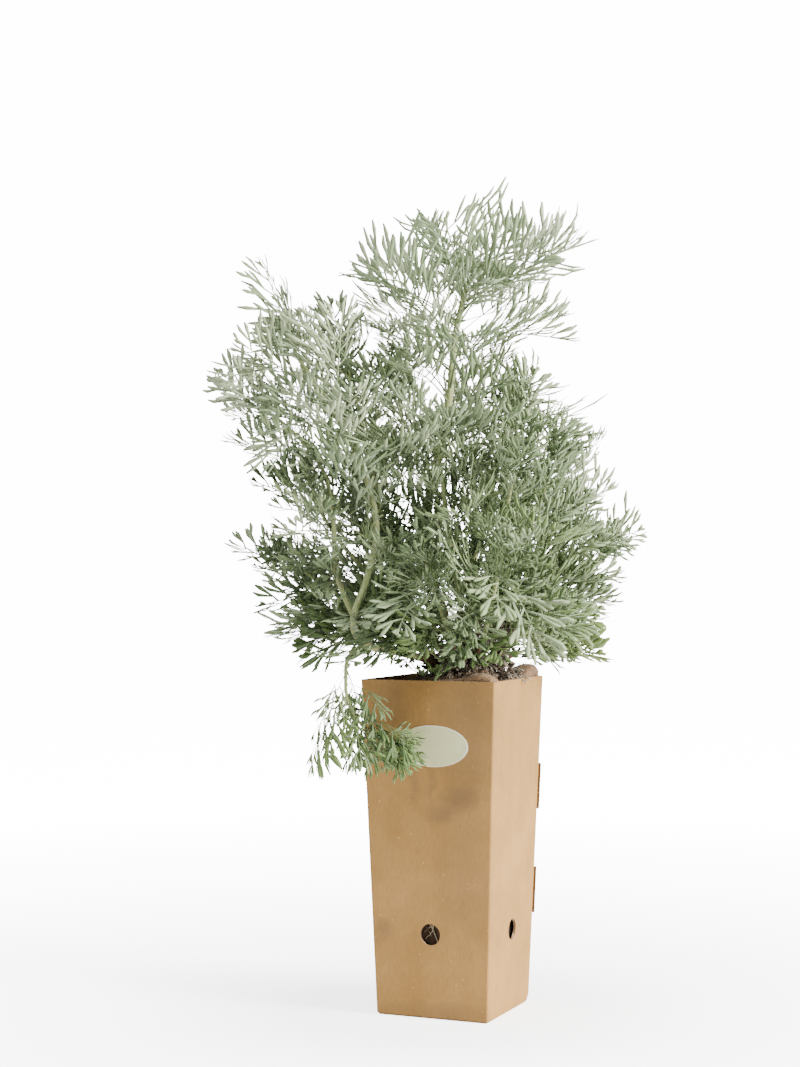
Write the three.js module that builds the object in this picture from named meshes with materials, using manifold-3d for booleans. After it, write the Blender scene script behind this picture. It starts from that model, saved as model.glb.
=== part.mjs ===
// A young tree wormwood in a tall, tapered pot of folded kraft board.
// The pot is one folded sheet of micro-flute board with an air hole in each wall, a folded bottom and
// two locking tabs at its rear right corner. It holds a block of potting soil, and a mat of coir felt
// lies on the soil. A short woody trunk stands in a plain hole in the soil and forks into limbs, and
// each limb goes on as a leafy shoot. Units are millimetres, +Z is up, and the origin is the middle of
// the pot's underside. The labelled wall faces -Y.
import * as THREE from "three";
import { mergeVertices } from "three/addons/utils/BufferGeometryUtils.js";
import Module from "manifold-3d";

const wasm = await Module();
wasm.setup();

// Driving dimensions of the pot
const POT_HEIGHT = 220;
const POT_TOP = 94;
const POT_BASE = 78;
const BOARD = 1.6;
const FIT_GAP = 0.3;
const WALL_LIFT = 1.2;
const BOTTOM = { thick: 3.2, inset: 1.0 };
const CORNER_CUT = 6;
const SEAM = { width: 0.8, depth: 0.6, y: 14, middle: 0.44, slant: 0.3 };
const AIR_HOLE = { diameter: 14, z: 55, sides: 16 };
const TAB = { height: 31, proud: 1.5, feet: [60, 130], length: 8, thick: 1.1 };
const LABEL = { width: 49, height: 27, thick: 0.4, x: 3.7, z: 177.7 };

// Soil, mat, trunk and withered leaves
const SOIL_TOP = 209;
const MAT = { thick: 6, cells: 8, corner: 30, ripple: 0.8, wave: 7, gives: 2 };
const MAT_CURLS = [
  { x: 34, y: -38, reach: 16, rise: 10 },
  { x: 6, y: -42, reach: 18, rise: 4 },
  { x: 38, y: 36, reach: 18, rise: 13 },
  { x: -30, y: 38, reach: 20, rise: 4 },
];
const TRUNK = { u: 8, v: 0, foot: 188, top: 230, foot_radius: 6.5, top_radius: 5.6, sides: 10, play: 0.6 };
const WITHERED = {
  count: 8, seed: 7, length: 24, half: 1.2, thick: 0.8, low: 222, high: 246,
  rises: [0.5, 1.6], lengths: [0.8, 1.1], droops: [0.3, 0.8],
};

// The plant is turned in its pot: u runs to the right and v to the back as seen from the pot's front
// right corner.
const PLANT_TURN = THREE.MathUtils.degToRad(21.8);
const REACH = { left: -163, right: 131, front: -122, rear: 122, top: 543, lowest: 226 };

// Shoots. path is the line of the stem in u, v and z. wood is the length of the woody limb that it grows
// on. from is where on the stem its leaves start, as a share of the length. size, spread and droop are
// the length of the leaves, their angle to the stem in degrees and how far they hang, each from the
// lowest leaf to the tip. radius is that of the stem at its foot. A fork starts at a share of another
// shoot and grows together with it. lowest is the height down to which a shoot's leaves may hang, where
// it isn't the plant's own.
const SHOOTS = [
  {
    name: "leader", wood: 92, from: 0.52, leaves: 14, radius: 3.2,
    size: [98, 88], spread: [74, 44], droop: [0.05, -0.2],
    path: [
      [8, 0, 218], [-6, -4, 262], [-20, -6, 312], [-14, -4, 350], [-3, 0, 406], [1, 0, 447],
      [6, 0, 471], [9, -2, 484],
    ],
  },
  {
    name: "left_arch", wood: 46, from: 0.52, leaves: 8, radius: 2.3,
    size: [80, 64], spread: [66, 22], droop: [0.1, -0.04],
    path: [
      [7, -1, 222], [-28, -28, 236], [-58, -42, 244], [-65, -46, 260], [-57, -46, 284],
      [-50, -44, 318], [-57, -42, 352], [-70, -38, 380], [-88, -34, 410], [-104, -30, 434],
    ],
  },
  {
    name: "left_upright", fork: { of: "left_arch", at: 0.3 }, from: 0.34, leaves: 6, radius: 1.7,
    size: [72, 56], spread: [64, 20], droop: [0.08, -0.06],
    path: [
      [-74, -40, 282], [-78, -35, 304], [-79, -34, 330], [-86, -32, 358], [-103, -30, 380],
      [-119, -28, 394],
    ],
  },
  {
    name: "trailing", fork: { of: "left_arch", at: 0.27 }, lowest: 158, from: 0.4, leaves: 5, radius: 1.3,
    size: [50, 36], spread: [56, 20], droop: [0.3, 0.12],
    path: [[-67, -57, 237], [-69, -65, 222], [-67, -69, 207], [-59, -71, 194], [-48, -71, 185]],
  },
  {
    name: "rear_left_crest", wood: 56, from: 0.5, leaves: 6, radius: 2,
    size: [78, 50], spread: [58, 18], droop: [0.06, -0.04],
    path: [
      [7, 2, 222], [-8, 25, 262], [-24, 40, 320], [-32, 46, 372], [-36, 48, 400],
      [-37, 48, 414],
    ],
  },
  {
    name: "left_crest", wood: 56, from: 0.5, leaves: 7, radius: 2,
    size: [78, 50], spread: [58, 18], droop: [0.05, -0.04],
    path: [
      [6, 1, 222], [-24, 8, 262], [-46, 12, 320], [-58, 14, 372], [-66, 14, 406],
      [-72, 12, 430],
    ],
  },
  {
    name: "right_crest", wood: 62, from: 0.5, leaves: 7, radius: 2.2,
    size: [78, 50], spread: [56, 18], droop: [0.06, -0.04],
    path: [[9, 1, 222], [11, 4, 283], [20, 5, 323], [27, 6, 353], [34, 10, 380], [38, 12, 398]],
  },
  {
    name: "right_high", wood: 52, from: 0.42, leaves: 7, radius: 2,
    size: [74, 48], spread: [58, 20], droop: [0.1, -0.04],
    path: [[10, -1, 222], [26, -12, 262], [42, -20, 306], [56, -24, 336], [64, -24, 354]],
  },
  {
    name: "right_mid", wood: 50, from: 0.5, leaves: 6, radius: 1.9,
    size: [70, 46], spread: [58, 20], droop: [0.14, 0],
    path: [[10, 1, 222], [34, 14, 260], [52, 22, 292], [66, 26, 314], [74, 26, 326]],
  },
  {
    name: "far_right", wood: 46, from: 0.42, leaves: 6, radius: 1.9,
    size: [62, 42], spread: [56, 20], droop: [0.1, 0.04],
    path: [[11, 0, 220], [40, 0, 252], [62, -2, 280], [76, -5, 297], [90, -6, 307]],
  },
  {
    name: "right_low", wood: 40, from: 0.42, leaves: 4, radius: 1.7,
    size: [60, 42], spread: [58, 22], droop: [0.2, 0.1],
    path: [[11, -2, 219], [34, -22, 240], [48, -33, 252], [56, -38, 257]],
  },
  {
    name: "rim_right", wood: 40, from: 0.5, leaves: 4, radius: 1.5,
    size: [56, 42], spread: [58, 22], droop: [0.2, 0.12],
    path: [[11, 1, 217], [38, 9, 233], [52, 13, 239], [62, 15, 242]],
  },
  {
    name: "far_left", wood: 50, from: 0.45, leaves: 5, radius: 1.7,
    size: [70, 50], spread: [58, 20], droop: [0.18, 0.1],
    path: [[6, 1, 220], [-36, 10, 250], [-70, 14, 270], [-94, 16, 286], [-107, 16, 295]],
  },
  {
    name: "left_low", wood: 46, from: 0.48, leaves: 4, radius: 1.6,
    size: [64, 46], spread: [60, 22], droop: [0.26, 0.14],
    path: [[6, 0, 218], [-32, -3, 244], [-60, -5, 258], [-83, -6, 265]],
  },
  {
    name: "front_left", wood: 40, from: 0.45, leaves: 5, radius: 1.7,
    size: [70, 46], spread: [64, 26], droop: [0.36, 0.18],
    path: [[7, -2, 219], [-3, -32, 250], [-12, -52, 276], [-18, -62, 292]],
  },
  {
    name: "front_right", wood: 40, from: 0.45, leaves: 5, radius: 1.7,
    size: [72, 46], spread: [64, 26], droop: [0.36, 0.18],
    path: [[9, -2, 219], [20, -36, 250], [26, -56, 278], [30, -68, 298]],
  },
  {
    name: "rear_high", wood: 54, from: 0.45, leaves: 5, radius: 2.0,
    size: [78, 52], spread: [58, 18], droop: [0.1, -0.04],
    path: [[8, 2, 222], [12, 36, 268], [15, 58, 326], [15, 70, 382]],
  },
  {
    name: "rear_left", wood: 52, from: 0.45, leaves: 5, radius: 1.8,
    size: [74, 52], spread: [58, 20], droop: [0.16, 0],
    path: [[6, 2, 220], [-22, 38, 256], [-44, 62, 298], [-56, 78, 332]],
  },
  {
    name: "rear_right", wood: 52, from: 0.45, leaves: 4, radius: 1.8,
    size: [74, 52], spread: [58, 20], droop: [0.16, 0],
    path: [[10, 2, 220], [34, 36, 256], [54, 60, 294], [64, 76, 328]],
  },
  {
    name: "left_front", wood: 50, from: 0.5, leaves: 5, radius: 1.7,
    size: [68, 48], spread: [60, 22], droop: [0.22, 0.1],
    path: [[6, -1, 221], [-38, -10, 270], [-70, -14, 304], [-84, -24, 324], [-92, -32, 340]],
  },
  {
    name: "front_top", wood: 52, from: 0.48, leaves: 6, radius: 1.9,
    size: [72, 50], spread: [60, 22], droop: [0.18, 0],
    path: [[8, -2, 222], [4, -22, 272], [-4, -38, 320], [-8, -48, 356], [-10, -52, 370]],
  },
  {
    name: "front_right_top", wood: 50, from: 0.48, leaves: 6, radius: 1.9,
    size: [72, 50], spread: [60, 22], droop: [0.18, 0],
    path: [[9, -2, 222], [21, -26, 270], [31, -44, 316], [38, -56, 350]],
  },
  {
    name: "rim_front", wood: 30, from: 0.6, leaves: 3, radius: 1.4,
    size: [52, 38], spread: [58, 24], droop: [0.26, 0.14],
    path: [[7, -2, 217], [-12, -26, 236], [-26, -42, 244]],
  },
  {
    name: "rear_far_left", wood: 50, from: 0.48, leaves: 4, radius: 1.7,
    size: [70, 50], spread: [58, 20], droop: [0.2, 0.1],
    path: [[6, 1, 219], [-40, 33, 250], [-72, 48, 274], [-90, 54, 288]],
  },
  {
    name: "rear_far_right", wood: 50, from: 0.48, leaves: 4, radius: 1.7,
    size: [66, 46], spread: [58, 20], droop: [0.2, 0.1],
    path: [[10, 1, 219], [38, 28, 246], [56, 42, 268], [66, 49, 282]],
  },
];

// Stems and leaves
const STEM = { sides: 5, step: 25, tip: 0.5, sink: 4 };
const BLADE = {
  thick: 0.8, rib: 0.6, petiole: 0.36, middle: 0.7, last: 0.9, pinna: 0.28, widest: 0.4, narrowing: 0.6,
  lift: 0.16, bar: 1.2, pair_lengths: [0, 0, 0, 60, 86],
};
const SWEEP = THREE.MathUtils.degToRad(46);
const PHYLLOTAXIS = {
  turn: 137.5, jitter: 24, tilt: 22, seed: 10, first: 63, next: 77, crowding: 1.25, lengths: [0.9, 1.1],
};
const CLEAR = { margin: 0.5, own: 0, rim: 232, wall: 50, heart: 20, ball: 16 };
const TRIES = {
  sizes: [1, 0.87, 0.74],
  leans: [1, 0.7, 1.3],
  turns: [0, 30, -30, 60, -60, 95, -95, 140, -140],
};

// Materials
const material = (color, roughness) => new THREE.MeshStandardMaterial({ color, roughness, metalness: 0 });
const kraft = material(0xc8a27a, 0.85);
const paper = material(0xd8d6bd, 0.6);
const earth = material(0x2a211c, 0.95);
const coir = material(0x9a7650, 0.95);
const bark = material(0x7a5f45, 0.85);
const foliage = material(0x9fb59a, 0.8);

// A closed three.js geometry as a solid, with each of its points placed by a rule
function solidOf(geometry, place) {
  const bare = new THREE.BufferGeometry();
  bare.setAttribute("position", geometry.getAttribute("position"));
  bare.setIndex(geometry.index);
  const merged = mergeVertices(bare);
  const position = merged.getAttribute("position");
  const vertProperties = new Float32Array(position.count * 3);
  for (let i = 0; i < position.count; i++) {
    place(new THREE.Vector3().fromBufferAttribute(position, i)).toArray(vertProperties, i * 3);
  }
  const triVerts = new Uint32Array(merged.index.array);
  return new wasm.Manifold(new wasm.Mesh({ numProp: 3, vertProperties, triVerts }));
}

function meshOf(solid, name, look) {
  const { vertProperties, triVerts } = solid.getMesh();
  const geometry = new THREE.BufferGeometry();
  geometry.setAttribute("position", new THREE.BufferAttribute(vertProperties, 3));
  geometry.setIndex(new THREE.BufferAttribute(triVerts, 1));
  geometry.computeVertexNormals();
  const mesh = new THREE.Mesh(geometry, look);
  mesh.name = name;
  return mesh;
}

const by = (matrix) => (point) => point.applyMatrix4(matrix);
const moved = (x, y, z) => new THREE.Matrix4().makeTranslation(x, y, z);
const joined = (solids) => solids.reduce((all, next) => all.add(next));
const mix = ([a, b], share) => a + (b - a) * share;
const clamped = (value) => Math.min(1, Math.max(0, value));

// A random number source that gives the same draws each run
function seeded(seed) {
  let state = seed;
  return () => {
    state = (Math.imul(state, 1664525) + 1013904223) >>> 0;
    return state / 4294967296;
  };
}

// The pot

const WALL_LEAN = Math.atan((POT_TOP - POT_BASE) / 2 / POT_HEIGHT);
const potHalf = (z) => mix([POT_BASE, POT_TOP], z / POT_HEIGHT) / 2;

// A square frustum between two heights, set in from the pot's outer faces
function frustum(low, high, inset) {
  const corner = (z) => (potHalf(z) - inset) * Math.SQRT2;
  const block = new THREE.CylinderGeometry(corner(high), corner(low), high - low, 4);
  block.rotateY(Math.PI / 4).rotateX(Math.PI / 2);
  return solidOf(block, by(moved(0, 0, (low + high) / 2)));
}

function makePot() {
  const shell = frustum(WALL_LIFT, POT_HEIGHT, 0).subtract(frustum(0, POT_HEIGHT + 1, BOARD));
  let pot = shell.add(frustum(0, BOTTOM.thick, BOTTOM.inset));
  const cut = (solid) => {
    pot = pot.subtract(solid);
  };
  // The two rear corners of the board are cut off at the bottom
  for (const side of [-1, 1]) {
    const outward = new THREE.Vector3(side, 1, -1).normalize();
    const turn = new THREE.Quaternion().setFromUnitVectors(new THREE.Vector3(0, 0, 1), outward);
    const size = 4 * CORNER_CUT;
    const centre = new THREE.Vector3((side * POT_BASE) / 2, POT_BASE / 2, 0);
    centre.addScaledVector(outward, size / 2 - CORNER_CUT / Math.sqrt(3));
    const place = new THREE.Matrix4().compose(centre, turn, new THREE.Vector3(1, 1, 1));
    cut(solidOf(new THREE.BoxGeometry(size, size, size), by(place)));
  }
  // Shallow seams between the folded flaps of the bottom
  const across = new THREE.BoxGeometry(POT_BASE * SEAM.middle, SEAM.width, 2 * SEAM.depth);
  cut(solidOf(across, by(moved(0, SEAM.y, 0))));
  for (const side of [-1, 1]) {
    const slant = new THREE.Matrix4().makeRotationZ((side * Math.PI) / 4);
    const start = moved((side * POT_BASE * SEAM.middle) / 2, SEAM.y, 0).multiply(slant);
    const reach = POT_BASE * SEAM.slant;
    const along = moved((side * reach) / 2, 0, 0);
    cut(solidOf(new THREE.BoxGeometry(reach, SEAM.width, 2 * SEAM.depth), by(start.multiply(along))));
  }
  // Air holes through the four walls
  const bore = AIR_HOLE.diameter / 2;
  const drill = new THREE.CylinderGeometry(bore, bore, 2 * POT_TOP, AIR_HOLE.sides);
  const quarter = new THREE.Matrix4().makeRotationZ(Math.PI / 2);
  cut(solidOf(drill, by(moved(0, 0, AIR_HOLE.z))));
  cut(solidOf(drill, by(moved(0, 0, AIR_HOLE.z).multiply(quarter))));
  // The locking tabs, which stand out of the right wall's rear edge
  for (const foot of TAB.feet) {
    const half = potHalf(foot + TAB.height / 2);
    const lean = new THREE.Matrix4().makeRotationFromEuler(new THREE.Euler(-WALL_LEAN, WALL_LEAN, 0));
    const place = moved(half + TAB.proud - TAB.length / 2, half - BOARD / 2, foot + TAB.height / 2);
    place.multiply(lean);
    pot = pot.add(solidOf(new THREE.BoxGeometry(TAB.length, TAB.thick, TAB.height), by(place)));
  }
  return pot;
}

// An oval of paper on the front wall
function makeLabel() {
  const oval = new THREE.Shape().absellipse(0, 0, LABEL.width / 2, LABEL.height / 2, 0, Math.PI * 2);
  const options = { depth: LABEL.thick, bevelEnabled: false, curveSegments: 16 };
  const sheet = new THREE.ExtrudeGeometry(oval, options);
  const stand = new THREE.Matrix4().makeRotationX(Math.PI / 2 + WALL_LEAN);
  return solidOf(sheet, by(moved(LABEL.x, -(potHalf(LABEL.z) + FIT_GAP), LABEL.z).multiply(stand)));
}

// Soil and mat

function inPot([u, v, z]) {
  return new THREE.Vector3(u, v, z).applyAxisAngle(new THREE.Vector3(0, 0, 1), PLANT_TURN);
}

const upright = new THREE.Matrix4().makeRotationX(Math.PI / 2);

function trunkHole(low, high) {
  const radius = TRUNK.foot_radius + TRUNK.play;
  const middle = inPot([TRUNK.u, TRUNK.v, (low + high) / 2]);
  const bore = new THREE.CylinderGeometry(radius, radius, high - low, 2 * TRUNK.sides);
  return solidOf(bore, by(moved(...middle).multiply(upright)));
}

function makeSoil() {
  const block = frustum(BOTTOM.thick + FIT_GAP, SOIL_TOP, BOARD + FIT_GAP);
  return block.subtract(trunkHole(TRUNK.foot - FIT_GAP, SOIL_TOP + 1));
}

// A mat that ripples and curls up over the rim, with its front left corner missing
function makeMat() {
  const side = 2 * (potHalf(SOIL_TOP) - BOARD - 2 * FIT_GAP);
  const sheet = new THREE.BoxGeometry(side, side, MAT.thick, MAT.cells, MAT.cells, 1);
  const lay = (point) => {
    let rise = MAT.ripple * Math.sin(point.x / MAT.wave + 1) * Math.cos(point.y / MAT.wave);
    for (const curl of MAT_CURLS) {
      const away = ((point.x - curl.x) ** 2 + (point.y - curl.y) ** 2) / curl.reach ** 2;
      rise += curl.rise * Math.exp(-away);
    }
    const under = Math.max(0, rise - MAT.gives);
    const lift = point.z > 0 ? MAT.thick + rise : under;
    return point.setZ(SOIL_TOP + FIT_GAP + lift);
  };
  const diagonal = new THREE.Matrix4().makeRotationZ(Math.PI / 4);
  const corner = moved(-side / 2, -side / 2, SOIL_TOP).multiply(diagonal);
  const missing = solidOf(new THREE.BoxGeometry(MAT.corner, side, 10 * MAT.thick), by(corner));
  return solidOf(sheet, lay).subtract(missing).subtract(trunkHole(SOIL_TOP - 1, SOIL_TOP + 40));
}

// Stems

const DOWN = new THREE.Vector3(0, 0, -1);
const STEADY = new THREE.Vector3(0.62, 0.68, -0.39);

// The line of a shoot: its place, direction and two sideways directions at a length from its foot
function lineOf(path) {
  const curve = new THREE.CatmullRomCurve3(path, false, "catmullrom", 0.5);
  const length = curve.getLength();
  const at = (distance) => {
    const share = clamped(distance / length);
    const point = curve.getPointAt(share);
    const along = curve.getTangentAt(share);
    const side = new THREE.Vector3().crossVectors(STEADY, along).normalize();
    const back = new THREE.Vector3().crossVectors(side, along);
    return { point, along, side, back };
  };
  return { length, at };
}

const stemRadius = (shoot, distance) => shoot.radius * mix([1, STEM.tip], distance / shoot.line.length);
const ringCount = (length) => Math.max(2, Math.round(length / STEM.step));

// The middle of a stem at a distance from its foot, straight between the rings that its green part is
// drawn with
function middleOf(shoot, distance) {
  const span = (shoot.line.length - shoot.foot) / ringCount(shoot.line.length - shoot.foot);
  const ring = Math.floor((distance - shoot.foot) / span);
  const [below, above] = [ring, ring + 1].map((k) => shoot.line.at(shoot.foot + k * span).point);
  return below.lerp(above, (distance - shoot.foot) / span - ring);
}

// A tapered stretch of a stem
function stemSolid(shoot, from, to) {
  const length = to - from;
  const steps = ringCount(length);
  const [thick, thin] = [stemRadius(shoot, from), stemRadius(shoot, to)];
  const straight = new THREE.CylinderGeometry(thin, thick, length, STEM.sides, steps);
  return solidOf(straight, (p) => {
    const { point, side, back } = shoot.line.at(from + length / 2 + p.y);
    return point.addScaledVector(side, p.x).addScaledVector(back, p.z);
  });
}

// Leaves

// A point of the leaf, given flat as the distance along its rib and to the side, and bent with the
// leaf's droop
function onLeaf(leaf, along, aside, lift = 0) {
  const share = along / leaf.length;
  const point = leaf.root.clone().addScaledVector(leaf.start, along);
  point.addScaledVector(DOWN, leaf.droop * leaf.length * share * share);
  const way = leaf.start.clone().addScaledVector(DOWN, 2 * leaf.droop * share).normalize();
  const side = leaf.side.clone().addScaledVector(way, -leaf.side.dot(way)).normalize();
  const face = new THREE.Vector3().crossVectors(way, side);
  return point.addScaledVector(side, aside).addScaledVector(face, lift + BLADE.lift * Math.abs(aside));
}

// The pairs of pinnae along a leaf: the stretch of the rib that each grows from, and its tip's place on
// the blade
function pinnae(leaf) {
  const pairs = BLADE.pair_lengths.filter((length) => leaf.length > length).length;
  const first = leaf.length * BLADE.petiole;
  const pitch = (leaf.length * BLADE.last - first) / pairs;
  return Array.from({ length: pairs }, (_, k) => {
    const from = first + k * pitch;
    const aside = Math.abs((k + 0.5) / pairs - BLADE.widest);
    const size = leaf.length * BLADE.pinna * (1 - aside * BLADE.narrowing);
    const tip = [from + pitch / 2 + size * Math.cos(SWEEP), BLADE.rib + size * Math.sin(SWEEP)];
    return { from, to: from + pitch, tip };
  });
}

// The leaf as one thin blade, its outline cut to the rib between the pinnae
function leafSolid(leaf) {
  const cuts = pinnae(leaf).flatMap(({ tip, to }) => [tip, [to, BLADE.rib]]);
  const oneSide = [[0, BLADE.rib], [leaf.length * BLADE.petiole, BLADE.rib], ...cuts];
  const otherSide = oneSide.map(([x, y]) => [x, -y]);
  const round = [...otherSide, [leaf.length, 0], ...oneSide.reverse()];
  const outline = new THREE.Shape(round.map(([x, y]) => new THREE.Vector2(x, y)));
  const flat = new THREE.ExtrudeGeometry(outline, { depth: BLADE.thick, bevelEnabled: false });
  return solidOf(flat, (p) => onLeaf(leaf, p.x, p.y, p.z - BLADE.thick / 2));
}

// The thin bars that stand for a leaf where leaves are kept apart: its rib and three lines up each pinna
function barsOf(leaf) {
  const bars = [];
  const lay = (from, to) => {
    bars.push({ a: onLeaf(leaf, ...from), b: onLeaf(leaf, ...to), radius: BLADE.bar });
  };
  const stops = [STEM.sink + 2, leaf.length * BLADE.petiole, leaf.length * BLADE.middle, leaf.length];
  for (let i = 0; i + 1 < stops.length; i++) lay([stops[i], 0], [stops[i + 1], 0]);
  for (const { from, to, tip } of pinnae(leaf))
    for (const side of [-1, 1]) {
      for (const foot of [from, (from + to) / 2, to]) lay([foot, 0], [tip[0], side * tip[1]]);
    }
  return bars;
}

// The room between two bars
function roomBetween(one, other) {
  const d1 = one.b.clone().sub(one.a);
  const d2 = other.b.clone().sub(other.a);
  const between = one.a.clone().sub(other.a);
  const [a, e, b] = [d1.lengthSq(), d2.lengthSq(), d1.dot(d2)];
  const [c, f] = [d1.dot(between), d2.dot(between)];
  const spread = a * e - b * b;
  let s = spread > 1e-6 ? clamped((b * f - c * e) / spread) : 0;
  const t = (b * s + f) / e;
  if (t < 0) s = clamped(-c / a);
  if (t > 1) s = clamped((b - c) / a);
  const nearest = between.addScaledVector(d1, s).addScaledVector(d2, -clamped(t));
  return nearest.length() - one.radius - other.radius;
}

// Bars that belong together, with the ball that holds them
function bundleOf(bars, owner, isStem) {
  const box = new THREE.Box3().setFromPoints(bars.flatMap(({ a, b }) => [a, b]));
  const ball = box.getBoundingSphere(new THREE.Sphere());
  return { bars, owner, isStem, ball };
}

// Whether a point of a leaf keeps off the pot and inside the plant's reach
function hasRoom({ x, y, z }, lowest) {
  const u = x * Math.cos(PLANT_TURN) + y * Math.sin(PLANT_TURN);
  const v = y * Math.cos(PLANT_TURN) - x * Math.sin(PLANT_TURN);
  const offPot = z > CLEAR.rim || Math.max(Math.abs(x), Math.abs(y)) > CLEAR.wall;
  const inside = u > REACH.left && u < REACH.right && v > REACH.front && v < REACH.rear;
  return offPot && inside && z > lowest && z < REACH.top;
}

function fits(bundle, taken, lowest = REACH.lowest) {
  if (!bundle.bars.every(({ a, b }) => hasRoom(a, lowest) && hasRoom(b, lowest))) return false;
  return taken.every((other) => {
    if (other.isStem && other.owner === bundle.owner) return true;
    const apart = other.ball.center.distanceTo(bundle.ball.center);
    if (apart > other.ball.radius + bundle.ball.radius + CLEAR.ball) return true;
    const needed = other.owner === bundle.owner ? CLEAR.own : CLEAR.margin;
    return bundle.bars.every((bar) => other.bars.every((one) => roomBetween(bar, one) > needed));
  });
}

// The first direction turned towards the second
function turned(first, second, angle) {
  return first.clone().multiplyScalar(Math.cos(angle)).addScaledVector(second, Math.sin(angle));
}

// One leaf of a shoot, turned, leaned or shortened by the first choice that keeps it clear of what is taken
function placeLeaf(shoot, index, draw, taken) {
  const share = index / (shoot.leaves - 1);
  const stem = shoot.line.length;
  const lowest = Math.max(shoot.from * stem, shoot.foot + STEM.sink);
  const distance = Math.min(mix([lowest, stem], 1 - (1 - share) ** PHYLLOTAXIS.crowding), stem - STEM.sink);
  const { along, side, back } = shoot.line.at(distance);
  const root = middleOf(shoot, distance);
  const heading = PHYLLOTAXIS.turn * index + shoot.phase + PHYLLOTAXIS.jitter * (draw() - 0.5);
  const length = mix(shoot.size, share) * mix(PHYLLOTAXIS.lengths, draw());
  const tilt = THREE.MathUtils.degToRad(PHYLLOTAXIS.tilt * (draw() - 0.5) * 2);
  for (const size of TRIES.sizes)
    for (const lean of TRIES.leans)
      for (const turn of TRIES.turns) {
        const round = THREE.MathUtils.degToRad(heading + turn);
        const spread = THREE.MathUtils.degToRad(mix(shoot.spread, share) * lean);
        const outward = turned(side, back, round);
        const start = turned(along, outward, spread);
        const across = new THREE.Vector3().crossVectors(along, outward).applyAxisAngle(start, tilt);
        const leaf = { root, start, side: across, length: length * size, droop: mix(shoot.droop, share) };
        const bundle = bundleOf(barsOf(leaf), shoot.owner, false);
        if (fits(bundle, taken, shoot.lowest)) {
          taken.push(bundle);
          return leaf;
        }
      }
  return null;
}

// All shoots with their lines and leaves
function growShoots() {
  const shoots = [];
  const taken = [];
  for (const entry of SHOOTS) {
    const parent = shoots.find((shoot) => shoot.name === entry.fork?.of);
    const path = entry.path.map(inPot);
    if (parent) path.unshift(middleOf(parent, parent.line.length * entry.fork.at));
    const shoot = { ...entry, line: lineOf(path), owner: parent ? parent.name : entry.name };
    shoot.foot = entry.wood ? entry.wood + FIT_GAP : 0;
    shoot.phase = PHYLLOTAXIS.first + PHYLLOTAXIS.next * shoots.length;
    shoots.push(shoot);
  }
  const heart = inPot([TRUNK.u, TRUNK.v, 0]);
  const [low, high] = [SOIL_TOP, WITHERED.high].map((z) => heart.clone().setZ(z));
  taken.push(bundleOf([{ a: low, b: high, radius: CLEAR.heart }], "woody_crown", true));
  for (const shoot of shoots) {
    const stretches = [[0, shoot.foot, "woody_crown"], [shoot.foot, shoot.line.length, shoot.owner]];
    for (const [from, to, owner] of stretches) {
      const steps = ringCount(to - from);
      const radius = stemRadius(shoot, from);
      const place = (i) => shoot.line.at(mix([from, to], i / steps)).point;
      for (let i = 0; i < steps && to > from; i++) {
        taken.push(bundleOf([{ a: place(i), b: place(i + 1), radius }], owner, true));
      }
    }
  }
  const draw = seeded(PHYLLOTAXIS.seed);
  for (const shoot of shoots) {
    shoot.blades = [];
    for (let i = 0; i < shoot.leaves; i++) {
      const leaf = placeLeaf(shoot, i, draw, taken);
      if (leaf) shoot.blades.push(leaf);
    }
  }
  return shoots;
}

// The trunk with the woody limbs of all shoots and the withered leaves at its foot
function makeCrown(shoots) {
  const middle = inPot([TRUNK.u, TRUNK.v, (TRUNK.foot + TRUNK.top) / 2]);
  const height = TRUNK.top - TRUNK.foot;
  const post = new THREE.CylinderGeometry(TRUNK.top_radius, TRUNK.foot_radius, height, TRUNK.sides, 2);
  const solids = [solidOf(post, by(moved(...middle).multiply(upright)))];
  for (const shoot of shoots) if (shoot.wood) solids.push(stemSolid(shoot, 0, shoot.wood));
  const draw = seeded(WITHERED.seed);
  for (let i = 0; i < WITHERED.count; i++) {
    const round = THREE.MathUtils.degToRad(PHYLLOTAXIS.turn * i);
    const outward = new THREE.Vector3(Math.cos(round), Math.sin(round), 0);
    const root = inPot([TRUNK.u, TRUNK.v, mix([WITHERED.low, TRUNK.top - 2], draw())]);
    root.addScaledVector(outward, 2);
    const start = outward.clone().setZ(mix(WITHERED.rises, draw())).normalize();
    const side = new THREE.Vector3(-outward.y, outward.x, 0);
    const length = WITHERED.length * mix(WITHERED.lengths, draw());
    const leaf = { root, start, side, length, droop: mix(WITHERED.droops, draw()) };
    const strap = new THREE.BoxGeometry(leaf.length, 2 * WITHERED.half, WITHERED.thick, 2, 1, 1);
    solids.push(solidOf(strap, (p) => onLeaf(leaf, p.x + leaf.length / 2, p.y, p.z)));
  }
  return joined(solids);
}

// The green part of a shoot and of its forks, with their leaves
function makeShoot(shoot, shoots) {
  const solids = [];
  for (const part of shoots.filter(({ owner }) => owner === shoot.name)) {
    solids.push(stemSolid(part, part.foot, part.line.length), ...part.blades.map(leafSolid));
  }
  return joined(solids);
}

const shoots = growShoots();
const plant = new THREE.Group();
plant.add(
  meshOf(makePot(), "pot_sleeve", kraft),
  meshOf(makeLabel(), "label_oval", paper),
  meshOf(makeSoil(), "root_ball", earth),
  meshOf(makeMat(), "coir_mat", coir),
  meshOf(makeCrown(shoots), "woody_crown", bark),
);
for (const shoot of shoots.filter(({ fork }) => !fork)) {
  plant.add(meshOf(makeShoot(shoot, shoots), `shoot_${shoot.name}`, foliage));
}

export default plant;
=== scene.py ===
# %% [markdown]
# # A young tree wormwood in a kraft board pot
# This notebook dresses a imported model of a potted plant. The model comes in as a frame of plain
# solids, and each step makes one real piece in its place, with its finish. All sizes are written in
# millimetres, as on a maker's drawing, and a helper turns each finished piece into metres.
# The frame's +Z is up, the labelled wall of the pot faces -Y, and the pot stands on z = 0.

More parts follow.
